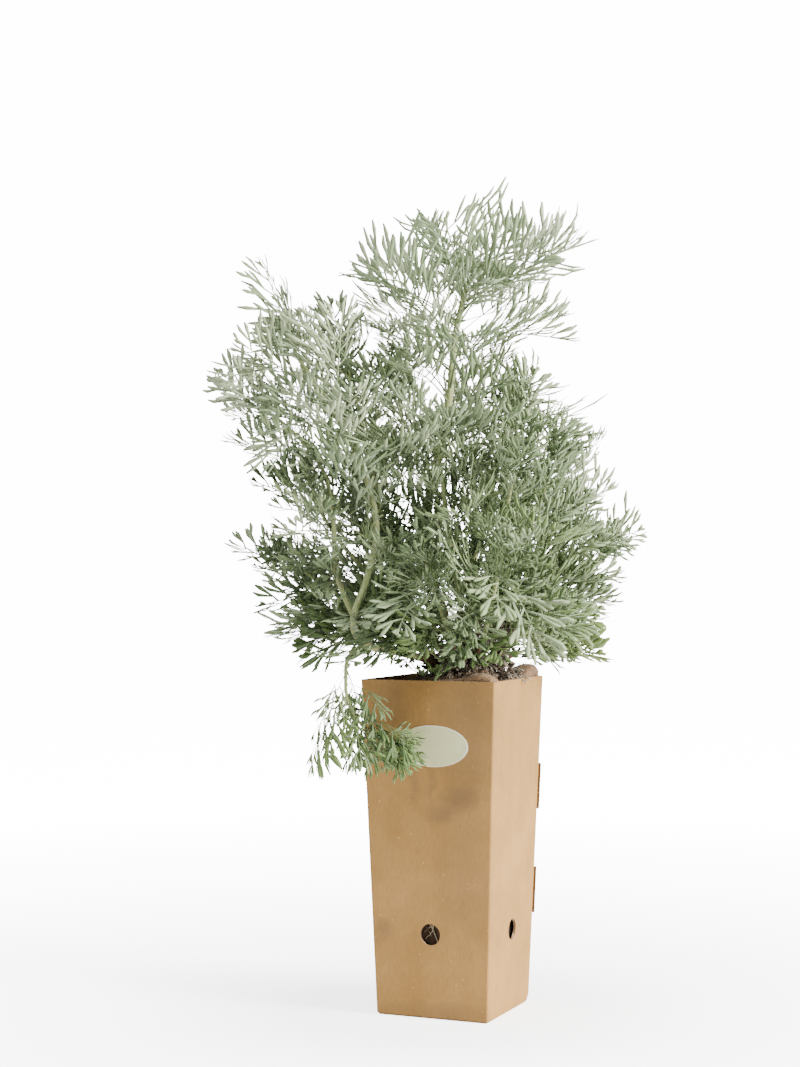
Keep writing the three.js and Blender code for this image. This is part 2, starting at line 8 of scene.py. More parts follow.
# %% Load the frame
import math
import random

import bmesh
import bpy
import numpy as np
from mathutils import Euler, Matrix, Vector, noise


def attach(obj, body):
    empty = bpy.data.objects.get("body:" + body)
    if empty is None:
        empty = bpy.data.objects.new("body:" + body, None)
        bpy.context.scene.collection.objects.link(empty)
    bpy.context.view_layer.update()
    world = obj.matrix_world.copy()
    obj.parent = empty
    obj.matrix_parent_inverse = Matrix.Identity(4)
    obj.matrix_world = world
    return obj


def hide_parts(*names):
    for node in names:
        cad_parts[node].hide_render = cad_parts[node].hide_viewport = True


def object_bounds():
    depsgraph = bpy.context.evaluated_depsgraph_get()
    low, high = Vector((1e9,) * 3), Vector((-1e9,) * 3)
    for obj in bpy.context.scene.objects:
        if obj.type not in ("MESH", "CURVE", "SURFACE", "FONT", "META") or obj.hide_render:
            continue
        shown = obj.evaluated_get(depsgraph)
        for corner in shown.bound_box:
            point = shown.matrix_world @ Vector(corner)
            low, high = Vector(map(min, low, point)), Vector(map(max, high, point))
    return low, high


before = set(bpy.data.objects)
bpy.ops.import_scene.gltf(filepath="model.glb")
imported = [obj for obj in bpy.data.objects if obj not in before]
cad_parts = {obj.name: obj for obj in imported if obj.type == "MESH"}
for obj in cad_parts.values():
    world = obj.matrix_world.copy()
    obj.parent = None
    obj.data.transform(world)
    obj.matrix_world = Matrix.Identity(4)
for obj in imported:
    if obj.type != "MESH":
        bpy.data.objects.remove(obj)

cad_box = [list(corner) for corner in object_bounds()]
print("nodes:", len(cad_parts), "box in metres:", cad_box)

# %% [markdown]
# ## The camera
# The photograph shows the pot from its front right corner, at about the height of the lowest leaves,
# through a long lens. The place and the direction of the camera were found by matching the pot's
# corners and holes. A camera in Blender looks down its own -Z axis, so the direction is turned into
# a rotation with to_track_quat. The sensor's 36 mm lie along the picture's long side.

# %% The camera
lens = bpy.data.cameras.new("portrait_lens")
lens.lens = 68.8
lens.sensor_width = 36
camera = bpy.data.objects.new("camera", lens)
yaw = math.radians(-23.27)
pitch = math.radians(1.11)
look = Vector((math.sin(yaw) * math.cos(pitch), math.cos(yaw) * math.cos(pitch), math.sin(pitch)))
camera.location = (0.5071, -1.2701, 0.2899)
camera.rotation_euler = look.to_track_quat("-Z", "Y").to_euler()
bpy.context.scene.collection.objects.link(camera)
bpy.context.scene.camera = camera
print("camera looks along", tuple(round(c, 3) for c in look))

# %% [markdown]
# ## Floor and light
# A studio photograph like this one is lit with large soft lights against white. One wide lamp
# stands at the right and makes the right wall of the pot the bright one, a weaker one fills in from
# the left and in front, and a pale world lights the rest. Large lamps give soft shadows, which suit
# fine leaves: hard ones would break them up into noise.


# %% Floor and light
def lamp(name, place, aim, size, watts, tint):
    light = bpy.data.lights.new(name, "AREA")
    light.shape = "DISK"
    light.size = size
    light.energy = watts
    light.color = tint
    holder = bpy.data.objects.new(name, light)
    holder.location = place
    holder.rotation_euler = (Vector(aim) - Vector(place)).to_track_quat("-Z", "Y").to_euler()
    bpy.context.scene.collection.objects.link(holder)


lamp("key_right", (1.8, -0.12, 0.95), (0, 0, 0.28), 0.7, 142, (1, 0.98, 0.94))
lamp("fill_left", (-1.0, -1.6, 1.1), (0, 0, 0.25), 0.7, 19, (0.97, 0.98, 1))
lamp("top_soft", (0.1, 0.1, 1.9), (0, 0, 0.3), 1.0, 34, (1, 1, 1))

world = bpy.data.worlds.new("white_room")
world.use_nodes = True
backdrop = world.node_tree.nodes["Background"]
backdrop.inputs["Color"].default_value = (1, 1, 1, 1)
seen = world.node_tree.nodes.new("ShaderNodeLightPath").outputs["Is Camera Ray"]
glow = world.node_tree.nodes.new("ShaderNodeMapRange")
glow.inputs["To Min"].default_value, glow.inputs["To Max"].default_value = 0.28, 15
world.node_tree.links.new(seen, glow.inputs["Value"])
world.node_tree.links.new(glow.outputs["Result"], backdrop.inputs["Strength"])
bpy.context.scene.world = world

# %% [markdown]
# ## Finishes
# Every finish here is a small network of nodes round one Principled shader. Two helpers keep the
# cells short: one starts a finish and sets the numbers that are the same all over it on the shader
# itself, and one adds a node and fills its inputs, with a number or with a link from another node.


# %% Helpers for finishes
def new_finish(name, **numbers):
    material = bpy.data.materials.new(name)
    material.use_nodes = True
    shader = material.node_tree.nodes["Principled BSDF"]
    for socket, value in numbers.items():
        shader.inputs[socket.replace("_", " ")].default_value = value
    return material, shader


def add(material, kind, settings=None, **inputs):
    step = material.node_tree.nodes.new("ShaderNode" + kind)
    for setting, value in (settings or {}).items():
        setattr(step, setting, value)
    for socket, value in inputs.items():
        place = step.inputs[int(socket[1:])] if socket[1:].isdigit() else step.inputs[socket.replace("_", " ")]
        if isinstance(value, bpy.types.NodeSocket):
            material.node_tree.links.new(value, place)
        else:
            place.default_value = value
    return step


def ramp(material, value, *stops):
    step = add(material, "ValToRGB", Fac=value)
    marks = step.color_ramp.elements
    while len(marks) < len(stops):
        marks.new(0.5)
    for mark, (position, shade) in zip(marks, stops):
        mark.position = position
        mark.color = (shade, shade, shade, 1) if isinstance(shade, (int, float)) else (*shade, 1)
    return step.outputs["Color"]


def blend(material, share, first, second, kind="MIX"):
    step = add(material, "Mix", {"data_type": "RGBA", "blend_type": kind}, Factor=share)
    for place, value in ((step.inputs[6], first), (step.inputs[7], second)):
        if isinstance(value, bpy.types.NodeSocket):
            material.node_tree.links.new(value, place)
        else:
            place.default_value = (*value, 1)
    return step.outputs[2]


def plug(material, value, place):
    material.node_tree.links.new(value, place)


def object_space(material, stretch=(1, 1, 1), shift=(0, 0, 0)):
    place = add(material, "TexCoord").outputs["Object"]
    return add(material, "Mapping", Vector=place, Scale=stretch, Location=shift).outputs["Vector"]


def grain(material, size, where, detail=3, rough=0.55):
    """Noise whose spots are about as large as size, in millimetres."""
    return add(material, "TexNoise", Vector=where, Scale=1000 / size, Detail=detail, Roughness=rough).outputs["Fac"]


def bump(material, shader, height, depth):
    """Relief of a depth in millimetres."""
    step = add(material, "Bump", Height=height, Strength=1.0, Distance=depth / 1000)
    plug(material, step.outputs["Normal"], shader.inputs["Normal"])


# %% [markdown]
# ## Keeping a piece
# A piece is modelled in a bmesh, in millimetres. This helper writes it into an object, turns it into
# metres, gives it its finishes and hides the solids of the frame that it stands for. Its place is in its
# mesh, so the object itself stays at the origin.


# %% Helpers for pieces
def keep(name, bm, finishes, nodes=(), smooth=True):
    bmesh.ops.scale(bm, vec=(0.001, 0.001, 0.001), verts=bm.verts)
    mesh = bpy.data.meshes.new(name)
    bm.to_mesh(mesh)
    bm.free()
    for finish in finishes:
        mesh.materials.append(finish)
    mesh.polygons.foreach_set("use_smooth", [smooth] * len(mesh.polygons))
    piece = bpy.data.objects.new(name, mesh)
    bpy.context.scene.collection.objects.link(piece)
    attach(piece, "root")
    if nodes:
        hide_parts(*nodes)
    print(name, "has", sum(len(face.vertices) - 2 for face in mesh.polygons), "triangles")
    return piece


def unit(vector):
    return vector / np.linalg.norm(vector, axis=-1, keepdims=True)


def between(ends, share):
    return ends[0] + (ends[1] - ends[0]) * share


# noise_vector starts from the clock, and differs from run to run, unless it is given a seed
noise.seed_set(5)


def shake(point, size, depth, seed=0):
    """A smooth random offset for a point, in millimetres."""
    return noise.noise_vector(Vector(point) / size + Vector((seed * 7.3, seed * 3.1, seed))) * depth

# %% [markdown]
# ## A tube that is drawn out
# Stems, roots, fibres and the lobes of the leaves are all thin things with a middle line. Each could
# be a curve with a bevel, but the lobes have to be flat and change their width, so one helper draws
# them all: it makes a small circle, extrudes it from ring to ring, and puts each ring in its place.
# A ring is its middle and two arrows, which hold the half width and the half thickness there.


# %% Draw out a tube
def draw_out(bm, rings, sides):
    made = bmesh.ops.create_circle(bm, cap_ends=True, radius=1, segments=sides)
    cap = made["verts"][0].link_faces[0]
    corners = [(v.co.x, v.co.y) for v in cap.verts]
    for count, (middle, side, back) in enumerate(rings):
        if count == 1:
            out = bmesh.ops.extrude_face_region(bm, geom=[cap])["geom"]
            cap = next(part for part in out if isinstance(part, bmesh.types.BMFace))
        elif count > 1:
            cap = bmesh.ops.extrude_discrete_faces(bm, faces=[cap])["faces"][0]
        for vert, (across, over) in zip(cap.verts, corners):
            vert.co = Vector(middle) + Vector(side) * across + Vector(back) * over
    return cap


def tube_along(bm, points, radii, sides):
    """A round tube through points, with its arrows carried along the line."""
    points = np.array(points, float)
    ways = unit(np.gradient(points, axis=0))
    side = unit(np.cross(ways[0], (0.3, 0.5, 0.8)))
    rings = []
    for point, way, radius in zip(points, ways, radii):
        side = unit(side - way * np.dot(side, way))
        rings.append((point, side * radius, np.cross(way, side) * radius))
    return draw_out(bm, rings, sides)

# %% [markdown]
# ## Kraft board
# The pot is folded from kraft micro-flute board: brown, matt, cloudy from the pulp, with pale and
# dark flecks of fibre, faint upright bands from the flutes inside, and blurred water stains under the
# label and low on the left. All of it is made of noise and flecks on Object coordinates at their real
# sizes. The stains are soft spots at their own places on the front wall. One large soft spot high on
# the right of that wall is painted shade from the foliage above, and the walls are painted darker
# towards the rim, as shade under the foliage.


# %% The board's finish
def flecks(material, size, share, where):
    """Dots of a size in millimetres on a share of the cells of a grid four times as large."""
    cells = add(material, "TexVoronoi", Vector=where, Scale=250 / size, Randomness=1.0)
    dots = ramp(material, cells.outputs["Distance"], (0.05, 1), (0.13, 0))
    lucky = add(material, "SeparateColor", Color=cells.outputs["Color"]).outputs[0]
    chosen = ramp(material, lucky, (share - 0.01, 1), (share, 0))
    return blend(material, 1.0, dots, chosen, "MULTIPLY")


def soft_spot(material, centre, reach, where):
    """1 in the middle of an oval of that reach in millimetres and 0 outside of it."""
    scale = [1000 / r for r in reach]
    shift = [-c / r for c, r in zip(centre, reach)]
    place = add(material, "Mapping", Vector=where, Scale=scale, Location=shift).outputs["Vector"]
    return add(material, "TexGradient", {"gradient_type": "SPHERICAL"}, Vector=place).outputs["Fac"]


kraft, kraft_shader = new_finish("kraft_board", Roughness=0.82, Specular_IOR_Level=0.25)
spot = object_space(kraft)
fibres = grain(kraft, 3.5, object_space(kraft, (3.2, 3.2, 0.8)), 4)
clouds = ramp(kraft, grain(kraft, 42, spot, 4), (0.32, (0.33, 0.178, 0.05)), (0.7, (0.42, 0.232, 0.074)))
pulp = ramp(kraft, fibres, (0.25, 0.86), (0.75, 1.1))
tan = blend(kraft, 0.8, clouds, pulp, "MULTIPLY")
flutes = add(kraft, "TexWave", {"wave_type": "BANDS", "bands_direction": "DIAGONAL"},
             Vector=object_space(kraft, (1, 1, 0)), Scale=36, Distortion=1.2, Detail=1)
flute_shade = ramp(kraft, flutes.outputs["Fac"], (0.0, 0.975), (1.0, 1.0))
tan = blend(kraft, 1.0, tan, flute_shade, "MULTIPLY")
pale_share = flecks(kraft, 1.1, 0.3, spot)
tan = blend(kraft, pale_share, tan, (0.56, 0.41, 0.2))
dark_share = flecks(kraft, 0.9, 0.05, object_space(kraft, shift=(3, 5, 7)))
tan = blend(kraft, dark_share, tan, (0.16, 0.08, 0.03))

# %% [markdown]
# A stain is darkest at its middle and its edge is uneven. A soft spot alone would look airbrushed, so
# its place is first pushed about by a little noise, and two spots that overlap make the blotch.

# %% Stains and painted shade on the front wall
wobble = add(kraft, "TexNoise", Vector=spot, Scale=70, Detail=2).outputs["Color"]
pushed = add(kraft, "VectorMath", {"operation": "MULTIPLY_ADD"}, _0=wobble, _1=(0.012,) * 3, _2=spot)
pushed = pushed.outputs["Vector"]
# Water stains, and one painted shadow: the large spot at (28, -46, 190) darkens the wall high on the right as shade
# from the foliage above.
STAINS_AND_PAINTED_SHADE = [((22, -46, 143), (17, 14, 12), 0.5), ((10, -46, 133), (16, 14, 8), 0.4), ((-10, -46, 156), (5, 14, 22), 0.3),
          ((2, -46, 152), (4, 14, 20), 0.25), ((28, -46, 190), (26, 14, 60), 0.35), ((-33, -43, 57), (8, 14, 9), 0.4),
          ((4, -44, 4), (60, 14, 9), 0.35), ((-26, -47, 205), (18, 14, 30), 0.35), ((24, -44, 90), (26, 14, 60), 0.2)]
for centre, reach, strength in STAINS_AND_PAINTED_SHADE:
    share = ramp(kraft, soft_spot(kraft, [c + 6 for c in centre], reach, pushed), (0.0, 0), (0.7, 1.35 * strength))
    tan = blend(kraft, share, tan, (0.2, 0.12, 0.055))
# Painted shade: the walls get darker towards the rim, as in the shadow of the foliage above.
up = add(kraft, "SeparateXYZ", Vector=spot).outputs["Z"]
painted_rim_shade = add(kraft, "MapRange", Value=up, _1=0.06, _2=0.21, _3=1.05, _4=0.85).outputs[0]
tan = blend(kraft, 1.0, tan, painted_rim_shade, "MULTIPLY")
plug(kraft, tan, kraft_shader.inputs["Base Color"])
relief = add(kraft, "Math", {"operation": "MULTIPLY_ADD"}, _0=flutes.outputs["Fac"], _1=0.6, _2=fibres)
bump(kraft, kraft_shader, relief.outputs[0], 0.05)

raw_edge, raw_shader = new_finish("board_edge", Roughness=0.9, Specular_IOR_Level=0.2)
wave = add(raw_edge, "TexWave", {"wave_type": "BANDS", "bands_direction": "DIAGONAL"},
           Vector=object_space(raw_edge, (1, 1, 0)), Scale=120, Distortion=0.6)
rough_shade = ramp(raw_edge, wave.outputs["Fac"], (0.2, (0.3, 0.18, 0.1)), (0.8, (0.6, 0.42, 0.26)))
plug(raw_edge, rough_shade, raw_shader.inputs["Base Color"])
bump(raw_edge, raw_shader, wave.outputs["Fac"], 0.15)

# Painted shade: the locking tabs are coloured a dark brown, as if they lay in the shadow of their slots.
tab_painted_shade, slot_shader = new_finish("tab_board_painted_shade", Roughness=0.9, Specular_IOR_Level=0.2)
tab_painted_shade_tan = ramp(tab_painted_shade, grain(tab_painted_shade, 2, object_space(tab_painted_shade), 3), (0.3, (0.1, 0.05, 0.022)), (0.7, (0.17, 0.09, 0.04)))
plug(tab_painted_shade, tab_painted_shade_tan, slot_shader.inputs["Base Color"])

# %% [markdown]
# ## The pot
# The pot is a sleeve of one sheet: four walls that lean outwards, folded at the corners, closed below
# by folded flaps. It could be a cube with its top pulled wider. That gives the lean at once, but the
# folds need a radius and the sheet a thickness: so the cube's upright edges are bevelled, its lid and
# floor are taken off, and solidify gives the walls the board's 1.6 mm. Cuts across the walls let them
# bulge by a few tenths of a millimetre, as folded board with damp soil in it does.

# %% Size of the pot
POT_HEIGHT, POT_TOP, POT_BASE, BOARD = 220, 94, 78, 1.6
WALL_LIFT, BOTTOM_THICK, BOTTOM_INSET = 1.2, 3.2, 1.0
HOLE_RADIUS, HOLE_HEIGHT = 7, 55
LEAN = math.atan((POT_TOP - POT_BASE) / 2 / POT_HEIGHT)


def pot_half(z):
    return between((POT_BASE, POT_TOP), z / POT_HEIGHT) / 2


def bulge(point):
    """How far a wall stands out of its flat place, in millimetres."""
    x, y, z = point
    swell = 0.45 * math.sin(math.pi * min(max(z / POT_HEIGHT, 0), 1))
    edge = 1 - (min(abs(x), abs(y)) / pot_half(z)) ** 2
    ripple = noise.noise(Vector((x * 0.03 + 4, y * 0.03, z * 0.018))) * 0.5
    return (swell + ripple) * max(edge, 0)


def tapered_block(low, high, inset, fold=0.0):
    """A square block between two heights that follows the pot's walls."""
    bm = bmesh.new()
    bmesh.ops.create_cube(bm, size=2)
    for vert in bm.verts:
        z = high if vert.co.z > 0 else low
        half = pot_half(z) - inset
        vert.co = (vert.co.x * half, vert.co.y * half, z)
    if fold:
        uprights = [e for e in bm.edges if abs(e.verts[0].co.z - e.verts[1].co.z) > 1]
        bmesh.ops.bevel(bm, geom=uprights, offset=fold, affect="EDGES", segments=4, profile=0.5, material=-1)
    return bm


def slice_along(bm, axis, places):
    for place in places:
        point, normal = Vector(), Vector()
        point[axis], normal[axis] = place, 1
        geom = list(bm.verts) + list(bm.edges) + list(bm.faces)
        bmesh.ops.bisect_plane(bm, geom=geom, plane_co=point, plane_no=normal)


# %% The walls
walls = tapered_block(WALL_LIFT, POT_HEIGHT, 0, fold=1.3)
ends = [face for face in walls.faces if abs(face.normal.z) > 0.9]
bmesh.ops.delete(walls, geom=ends, context="FACES")
slice_along(walls, 2, range(12, 219, 12))
slice_along(walls, 0, range(-36, 37, 12))
slice_along(walls, 1, range(-36, 37, 12))
for vert in walls.verts:
    out = Vector((vert.co.x, vert.co.y, 0))
    flat = Vector((math.copysign(1, out.x), 0, 0)) if abs(out.x) > abs(out.y) else Vector((0, math.copysign(1, out.y), 0))
    vert.co += flat * bulge(vert.co)
bmesh.ops.recalc_face_normals(walls, faces=walls.faces)
bmesh.ops.solidify(walls, geom=walls.faces, thickness=BOARD)
print("the walls have", len(walls.faces), "faces")

# %% [markdown]
# The flaps of the floor overlap and leave shallow seams under the pot. Modelling every flap would
# show only from below, so the floor is one plate, and the seams are cut into it. The corners of the
# board are trimmed at the rear, and two locking tabs stand out of the right wall's rear edge.

# %% The floor and the tabs
floor_plate = tapered_block(0, BOTTOM_THICK, BOTTOM_INSET)
bmesh.ops.bevel(floor_plate, geom=floor_plate.edges, offset=0.4, affect="EDGES", segments=2, profile=0.5, material=-1)
plate_mesh = bpy.data.meshes.new("floor_plate")
floor_plate.to_mesh(plate_mesh)
floor_plate.free()
walls.from_mesh(plate_mesh)
bpy.data.meshes.remove(plate_mesh)
TAB_HEIGHT, TAB_PROUD, TAB_LENGTH, TAB_THICK = 31, 1.5, 8, 1.1
for foot in (60, 130):
    half = pot_half(foot + TAB_HEIGHT / 2)
    centre = (half + TAB_PROUD - TAB_LENGTH / 2, half - BOARD / 2, foot + TAB_HEIGHT / 2)
    tab = bmesh.ops.create_cube(walls, size=1)["verts"]
    place = Matrix.Translation(centre) @ Euler((-LEAN, LEAN, 0)).to_matrix().to_4x4()
    bmesh.ops.scale(walls, vec=(TAB_LENGTH, TAB_THICK, TAB_HEIGHT), verts=tab)
    edges = dict.fromkeys(edge for vert in tab for edge in vert.link_edges)
    soft = bmesh.ops.bevel(walls, geom=list(edges), offset=0.3, affect="EDGES", segments=2, profile=0.5, material=-1)
    bmesh.ops.transform(walls, matrix=place, verts=list(set(soft["verts"])))
pot = keep("pot", walls, [kraft, raw_edge, tab_painted_shade], ["pot_sleeve"], smooth=False)

# %% [markdown]
# ## Holes in the board
# The air holes are punched through, and the corners are cut off. A Boolean modifier takes a cutter
# out of a finished piece, which is simpler than weaving round holes into the grid of the walls. The
# cutters are short drums, slanted blocks and thin bars. The faces cut round the air holes show the
# board's inside, so they get the finish of the raw edge.


# %% Punch the holes and cut the corners
def drum(bm, place):
    bmesh.ops.create_cone(bm, cap_ends=True, segments=64, radius1=HOLE_RADIUS, radius2=HOLE_RADIUS, depth=16, matrix=place)


def bar(bm, place, size):
    verts = bmesh.ops.create_cube(bm, size=1)["verts"]
    bmesh.ops.scale(bm, vec=size, verts=verts)
    bmesh.ops.transform(bm, matrix=place, verts=verts)


cutter = bmesh.new()
wall_at_hole = pot_half(HOLE_HEIGHT)
for quarter in range(4):
    turn = Matrix.Rotation(quarter * math.pi / 2, 4, "Z")
    drum(cutter, turn @ Matrix.Translation((0, -wall_at_hole, HOLE_HEIGHT)) @ Matrix.Rotation(math.pi / 2, 4, "X"))
for side in (-1, 1):
    outward = Vector((side, 1, -1)).normalized()
    centre = Vector((side * POT_BASE / 2, POT_BASE / 2, 0)) + outward * (12 - 6 / math.sqrt(3))
    bar(cutter, Matrix.Translation(centre) @ outward.to_track_quat("Z", "Y").to_matrix().to_4x4(), (24, 24, 24))
    slant = Matrix.Translation((side * POT_BASE * 0.22, 14, 0)) @ Matrix.Rotation(side * math.pi / 4, 4, "Z")
    bar(cutter, slant @ Matrix.Translation((side * POT_BASE * 0.15, 0, 0)), (POT_BASE * 0.3, 0.8, 1.2))
bar(cutter, Matrix.Translation((0, 14, 0)), (POT_BASE * 0.44, 0.8, 1.2))
bmesh.ops.scale(cutter, vec=(0.001, 0.001, 0.001), verts=cutter.verts)
cutter_mesh = bpy.data.meshes.new("cutter")
cutter.to_mesh(cutter_mesh)
cutter.free()
knife = bpy.data.objects.new("cutter", cutter_mesh)
bpy.context.scene.collection.objects.link(knife)


def cut_with(piece, tool):
    step = piece.modifiers.new("cut", "BOOLEAN")
    step.operation, step.solver, step.object = "DIFFERENCE", "EXACT", tool
    step.use_self = True
    ready = piece.evaluated_get(bpy.context.evaluated_depsgraph_get())
    shaped = bpy.data.meshes.new_from_object(ready)
    piece.modifiers.clear()
    piece.data = shaped
    shaped.name = piece.name
    bpy.data.objects.remove(tool)


cut_with(pot, knife)
for face in pot.data.polygons:
    x, y, z = (c * 1000 for c in face.center)
    near_hole = min(math.hypot(x, z - HOLE_HEIGHT), math.hypot(y, z - HOLE_HEIGHT))
    reveal = abs(near_hole - HOLE_RADIUS) < 0.3 and max(abs(x), abs(y)) > wall_at_hole - BOARD - 1
    rim = face.normal.z > 0.8 and z > POT_HEIGHT - 1
    tab = x > pot_half(z) + 0.25 and y > pot_half(z) - 3
    face.material_index = 2 if tab else 1 if rim or reveal else 0
print("the pot has", len(pot.data.polygons), "faces after cutting")

# %% [markdown]
# ## The label
# An oval of cream paper, glued on a little right of the middle, a bare one here. It is thin, so it
# is a filled circle pulled to an oval and extruded, and each of its points is laid on the wall, with
# the wall's own bulge. Its edge is a little lighter where the paper is cut.

# %% The label
LABEL_WIDTH, LABEL_HEIGHT, LABEL_X, LABEL_Z = 49, 27, 3.7, 177.7
paper, paper_shader = new_finish("label_paper", Roughness=0.5, Specular_IOR_Level=0.4)
spot = object_space(paper)
inside = soft_spot(paper, (LABEL_X, -45, LABEL_Z), (LABEL_WIDTH / 2, 900, LABEL_HEIGHT / 2), spot)
cream = ramp(paper, grain(paper, 9, spot, 4), (0.3, (0.56, 0.56, 0.3)), (0.75, (0.63, 0.63, 0.37)))
cream = blend(paper, ramp(paper, inside, (0.035, 1), (0.05, 0)), cream, (0.74, 0.74, 0.56))
plug(paper, cream, paper_shader.inputs["Base Color"])
bump(paper, paper_shader, grain(paper, 0.5, spot, 2), 0.012)

label = bmesh.new()
bmesh.ops.create_circle(label, cap_ends=False, radius=1, segments=96)
bmesh.ops.scale(label, vec=(LABEL_WIDTH / 2, LABEL_HEIGHT / 2, 1), verts=label.verts)
rim_edges = list(label.edges)
bmesh.ops.contextual_create(label, geom=rim_edges)
bmesh.ops.inset_region(label, faces=label.faces, thickness=0.5, depth=0)
top = bmesh.ops.extrude_face_region(label, geom=list(label.faces))["geom"]
bmesh.ops.translate(label, vec=(0, 0, 0.3), verts=[part for part in top if isinstance(part, bmesh.types.BMVert)])
bmesh.ops.recalc_face_normals(label, faces=label.faces)
stand = Matrix.Translation((LABEL_X, -pot_half(LABEL_Z), LABEL_Z)) @ Matrix.Rotation(math.pi / 2 + LEAN, 4, "X")
bmesh.ops.transform(label, matrix=stand, verts=label.verts)
for vert in label.verts:
    vert.co.y -= bulge(vert.co) + 0.1
keep("label", label, [paper], ["label_oval"], smooth=False)

# %% [markdown]
# ## Potting soil
# Peat with fibres and small pale grit. It shows in the gap at the front left of the mat and through
# the air holes. The block is the pot's taper, a little smaller, cut into a grid so that noise can
# roughen it, and it gives way a little behind each hole. Loose crumbs lie on it: a few kinds of
# small pressed spheres, put down again and again at seeded places.

# %% The soil's finish
soil_finish, soil_shader = new_finish("potting_soil", Roughness=0.95, Specular_IOR_Level=0.15)
spot = object_space(soil_finish)
earth = ramp(soil_finish, grain(soil_finish, 5, spot, 5), (0.3, (0.014, 0.009, 0.006)), (0.62, (0.055, 0.033, 0.02)), (0.8, (0.12, 0.075, 0.045)))
grit = flecks(soil_finish, 0.8, 0.1, spot)
plug(soil_finish, blend(soil_finish, grit, earth, (0.16, 0.12, 0.08)), soil_shader.inputs["Base Color"])
bump(soil_finish, soil_shader, grain(soil_finish, 1.6, spot, 5), 0.5)

# %% The block of soil
SOIL_TOP, PLAY = 209, 0.3
soil = tapered_block(BOTTOM_THICK + PLAY, SOIL_TOP, BOARD + PLAY, fold=1.5)
slice_along(soil, 2, np.arange(7, SOIL_TOP, 5))
slice_along(soil, 0, np.arange(-40, 41, 4))
slice_along(soil, 1, np.arange(-40, 41, 4))
for vert in soil.verts:
    x, y, z = vert.co
    off_hole = min(math.hypot(x, z - HOLE_HEIGHT), math.hypot(y, z - HOLE_HEIGHT))
    hollow = 3.5 * math.exp(-((off_hole / 8) ** 2))
    inward = Vector((-x, -y, 0)).normalized() * (hollow + 0.2)
    rough = shake(vert.co, 5, 0.7) + shake(vert.co, 1.7, 0.4, 2)
    if z > SOIL_TOP - 1:
        rough.z = -abs(rough.z) * 2
    vert.co += inward + Vector((min(0, rough.x * x) / (abs(x) + 1), min(0, rough.y * y) / (abs(y) + 1), rough.z))

crumb_draw = random.Random(4)
crumbs = []
for kind in range(5):
    crumb = bmesh.new()
    bmesh.ops.create_icosphere(crumb, subdivisions=1, radius=1)
    for vert in crumb.verts:
        vert.co += shake(vert.co, 0.9, 0.5, kind)
    bmesh.ops.scale(crumb, vec=(1, 0.8, 0.6), verts=crumb.verts)
    mesh = bpy.data.meshes.new("crumb")
    crumb.to_mesh(mesh)
    crumb.free()
    crumbs.append(mesh)


def put_down(bm, mesh, place):
    """A copy of a small mesh, put in its place."""
    bm.from_mesh(mesh)
    bm.verts.ensure_lookup_table()
    bmesh.ops.transform(bm, matrix=place, verts=bm.verts[-len(mesh.vertices):])


for _ in range(330):
    x, y = (crumb_draw.uniform(-42, 42) for _ in "xy")
    if x + y > -36:
        continue
    size = crumb_draw.uniform(0.5, 2.2)
    turn = Euler([crumb_draw.uniform(0, 6) for _ in "xyz"]).to_matrix().to_4x4()
    put_down(soil, crumb_draw.choice(crumbs), Matrix.Translation((x, y, SOIL_TOP - 0.4)) @ turn @ Matrix.Scale(size, 4))
soil_piece = keep("potting_soil", soil, [soil_finish], ["root_ball"])

# %% [markdown]
# Pale roots show in the front air hole: one thick one that runs down to the right and finer ones that
# branch from it. They are drawn out as thin tubes that lie on the soil inside the hole.

# %% Roots behind the air holes
root_finish, root_shader = new_finish("pale_root", Roughness=0.6)
root_tint = ramp(root_finish, grain(root_finish, 2, object_space(root_finish), 3), (0.3, (0.22, 0.17, 0.1)), (0.75, (0.4, 0.33, 0.22)))
plug(root_finish, root_tint, root_shader.inputs["Base Color"])
roots = bmesh.new()
root_draw = random.Random(9)


def lay_root(quarter, ends, radius, sag=0.8):
    """A root behind the air hole of a wall, between two places given as across and up from the hole's middle."""
    (x0, z0), (x1, z1) = ends
    points = []
    for step in range(9):
        t = step / 8
        x, z = between((x0, x1), t), between((z0, z1), t)
        x += 0.7 * noise.noise(Vector((t * 2.5, x0, z0)))
        z += 0.7 * noise.noise(Vector((t * 2.5 + 9, z1, x1)))
        depth = pot_half(HOLE_HEIGHT) - BOARD - 1.2 - sag * math.sin(math.pi * t)
        points.append(Matrix.Rotation(quarter * math.pi / 2, 3, "Z") @ Vector((x, -depth, HOLE_HEIGHT + z)))
    tube_along(roots, points, np.linspace(radius, radius * 0.6, 9), 6)


lay_root(0, ((-2.5, 8), (4.8, -6.2)), 0.5)
lay_root(0, ((1.2, 7.5), (-0.2, 1.0)), 0.55)
lay_root(0, ((-0.4, 1.2), (-4.5, -3.5)), 0.22)
for quarter in range(4):
    for _ in range(2):
        across = [(root_draw.uniform(-7, 7), root_draw.uniform(-7, 7)) for _ in "ab"]
        lay_root(quarter, across, root_draw.uniform(0.1, 0.22))
keep("roots", roots, [root_finish])

# %% [markdown]
# ## The coir mat
# A square of brown coconut felt covers the soil and keeps it damp. It is old and loose: it ripples,
# its right edge lifts in a fold at the front corner of the pot and curls up at the rear one, and the
# front left corner is gone. A grid is trimmed to that outline, extruded to the felt's thickness and
# laid by the same humps as its solid. Coir is all fibre, so the look comes from thin curved fibres
# that stand out of the felt, drawn out once in a few kinds and put down many times.


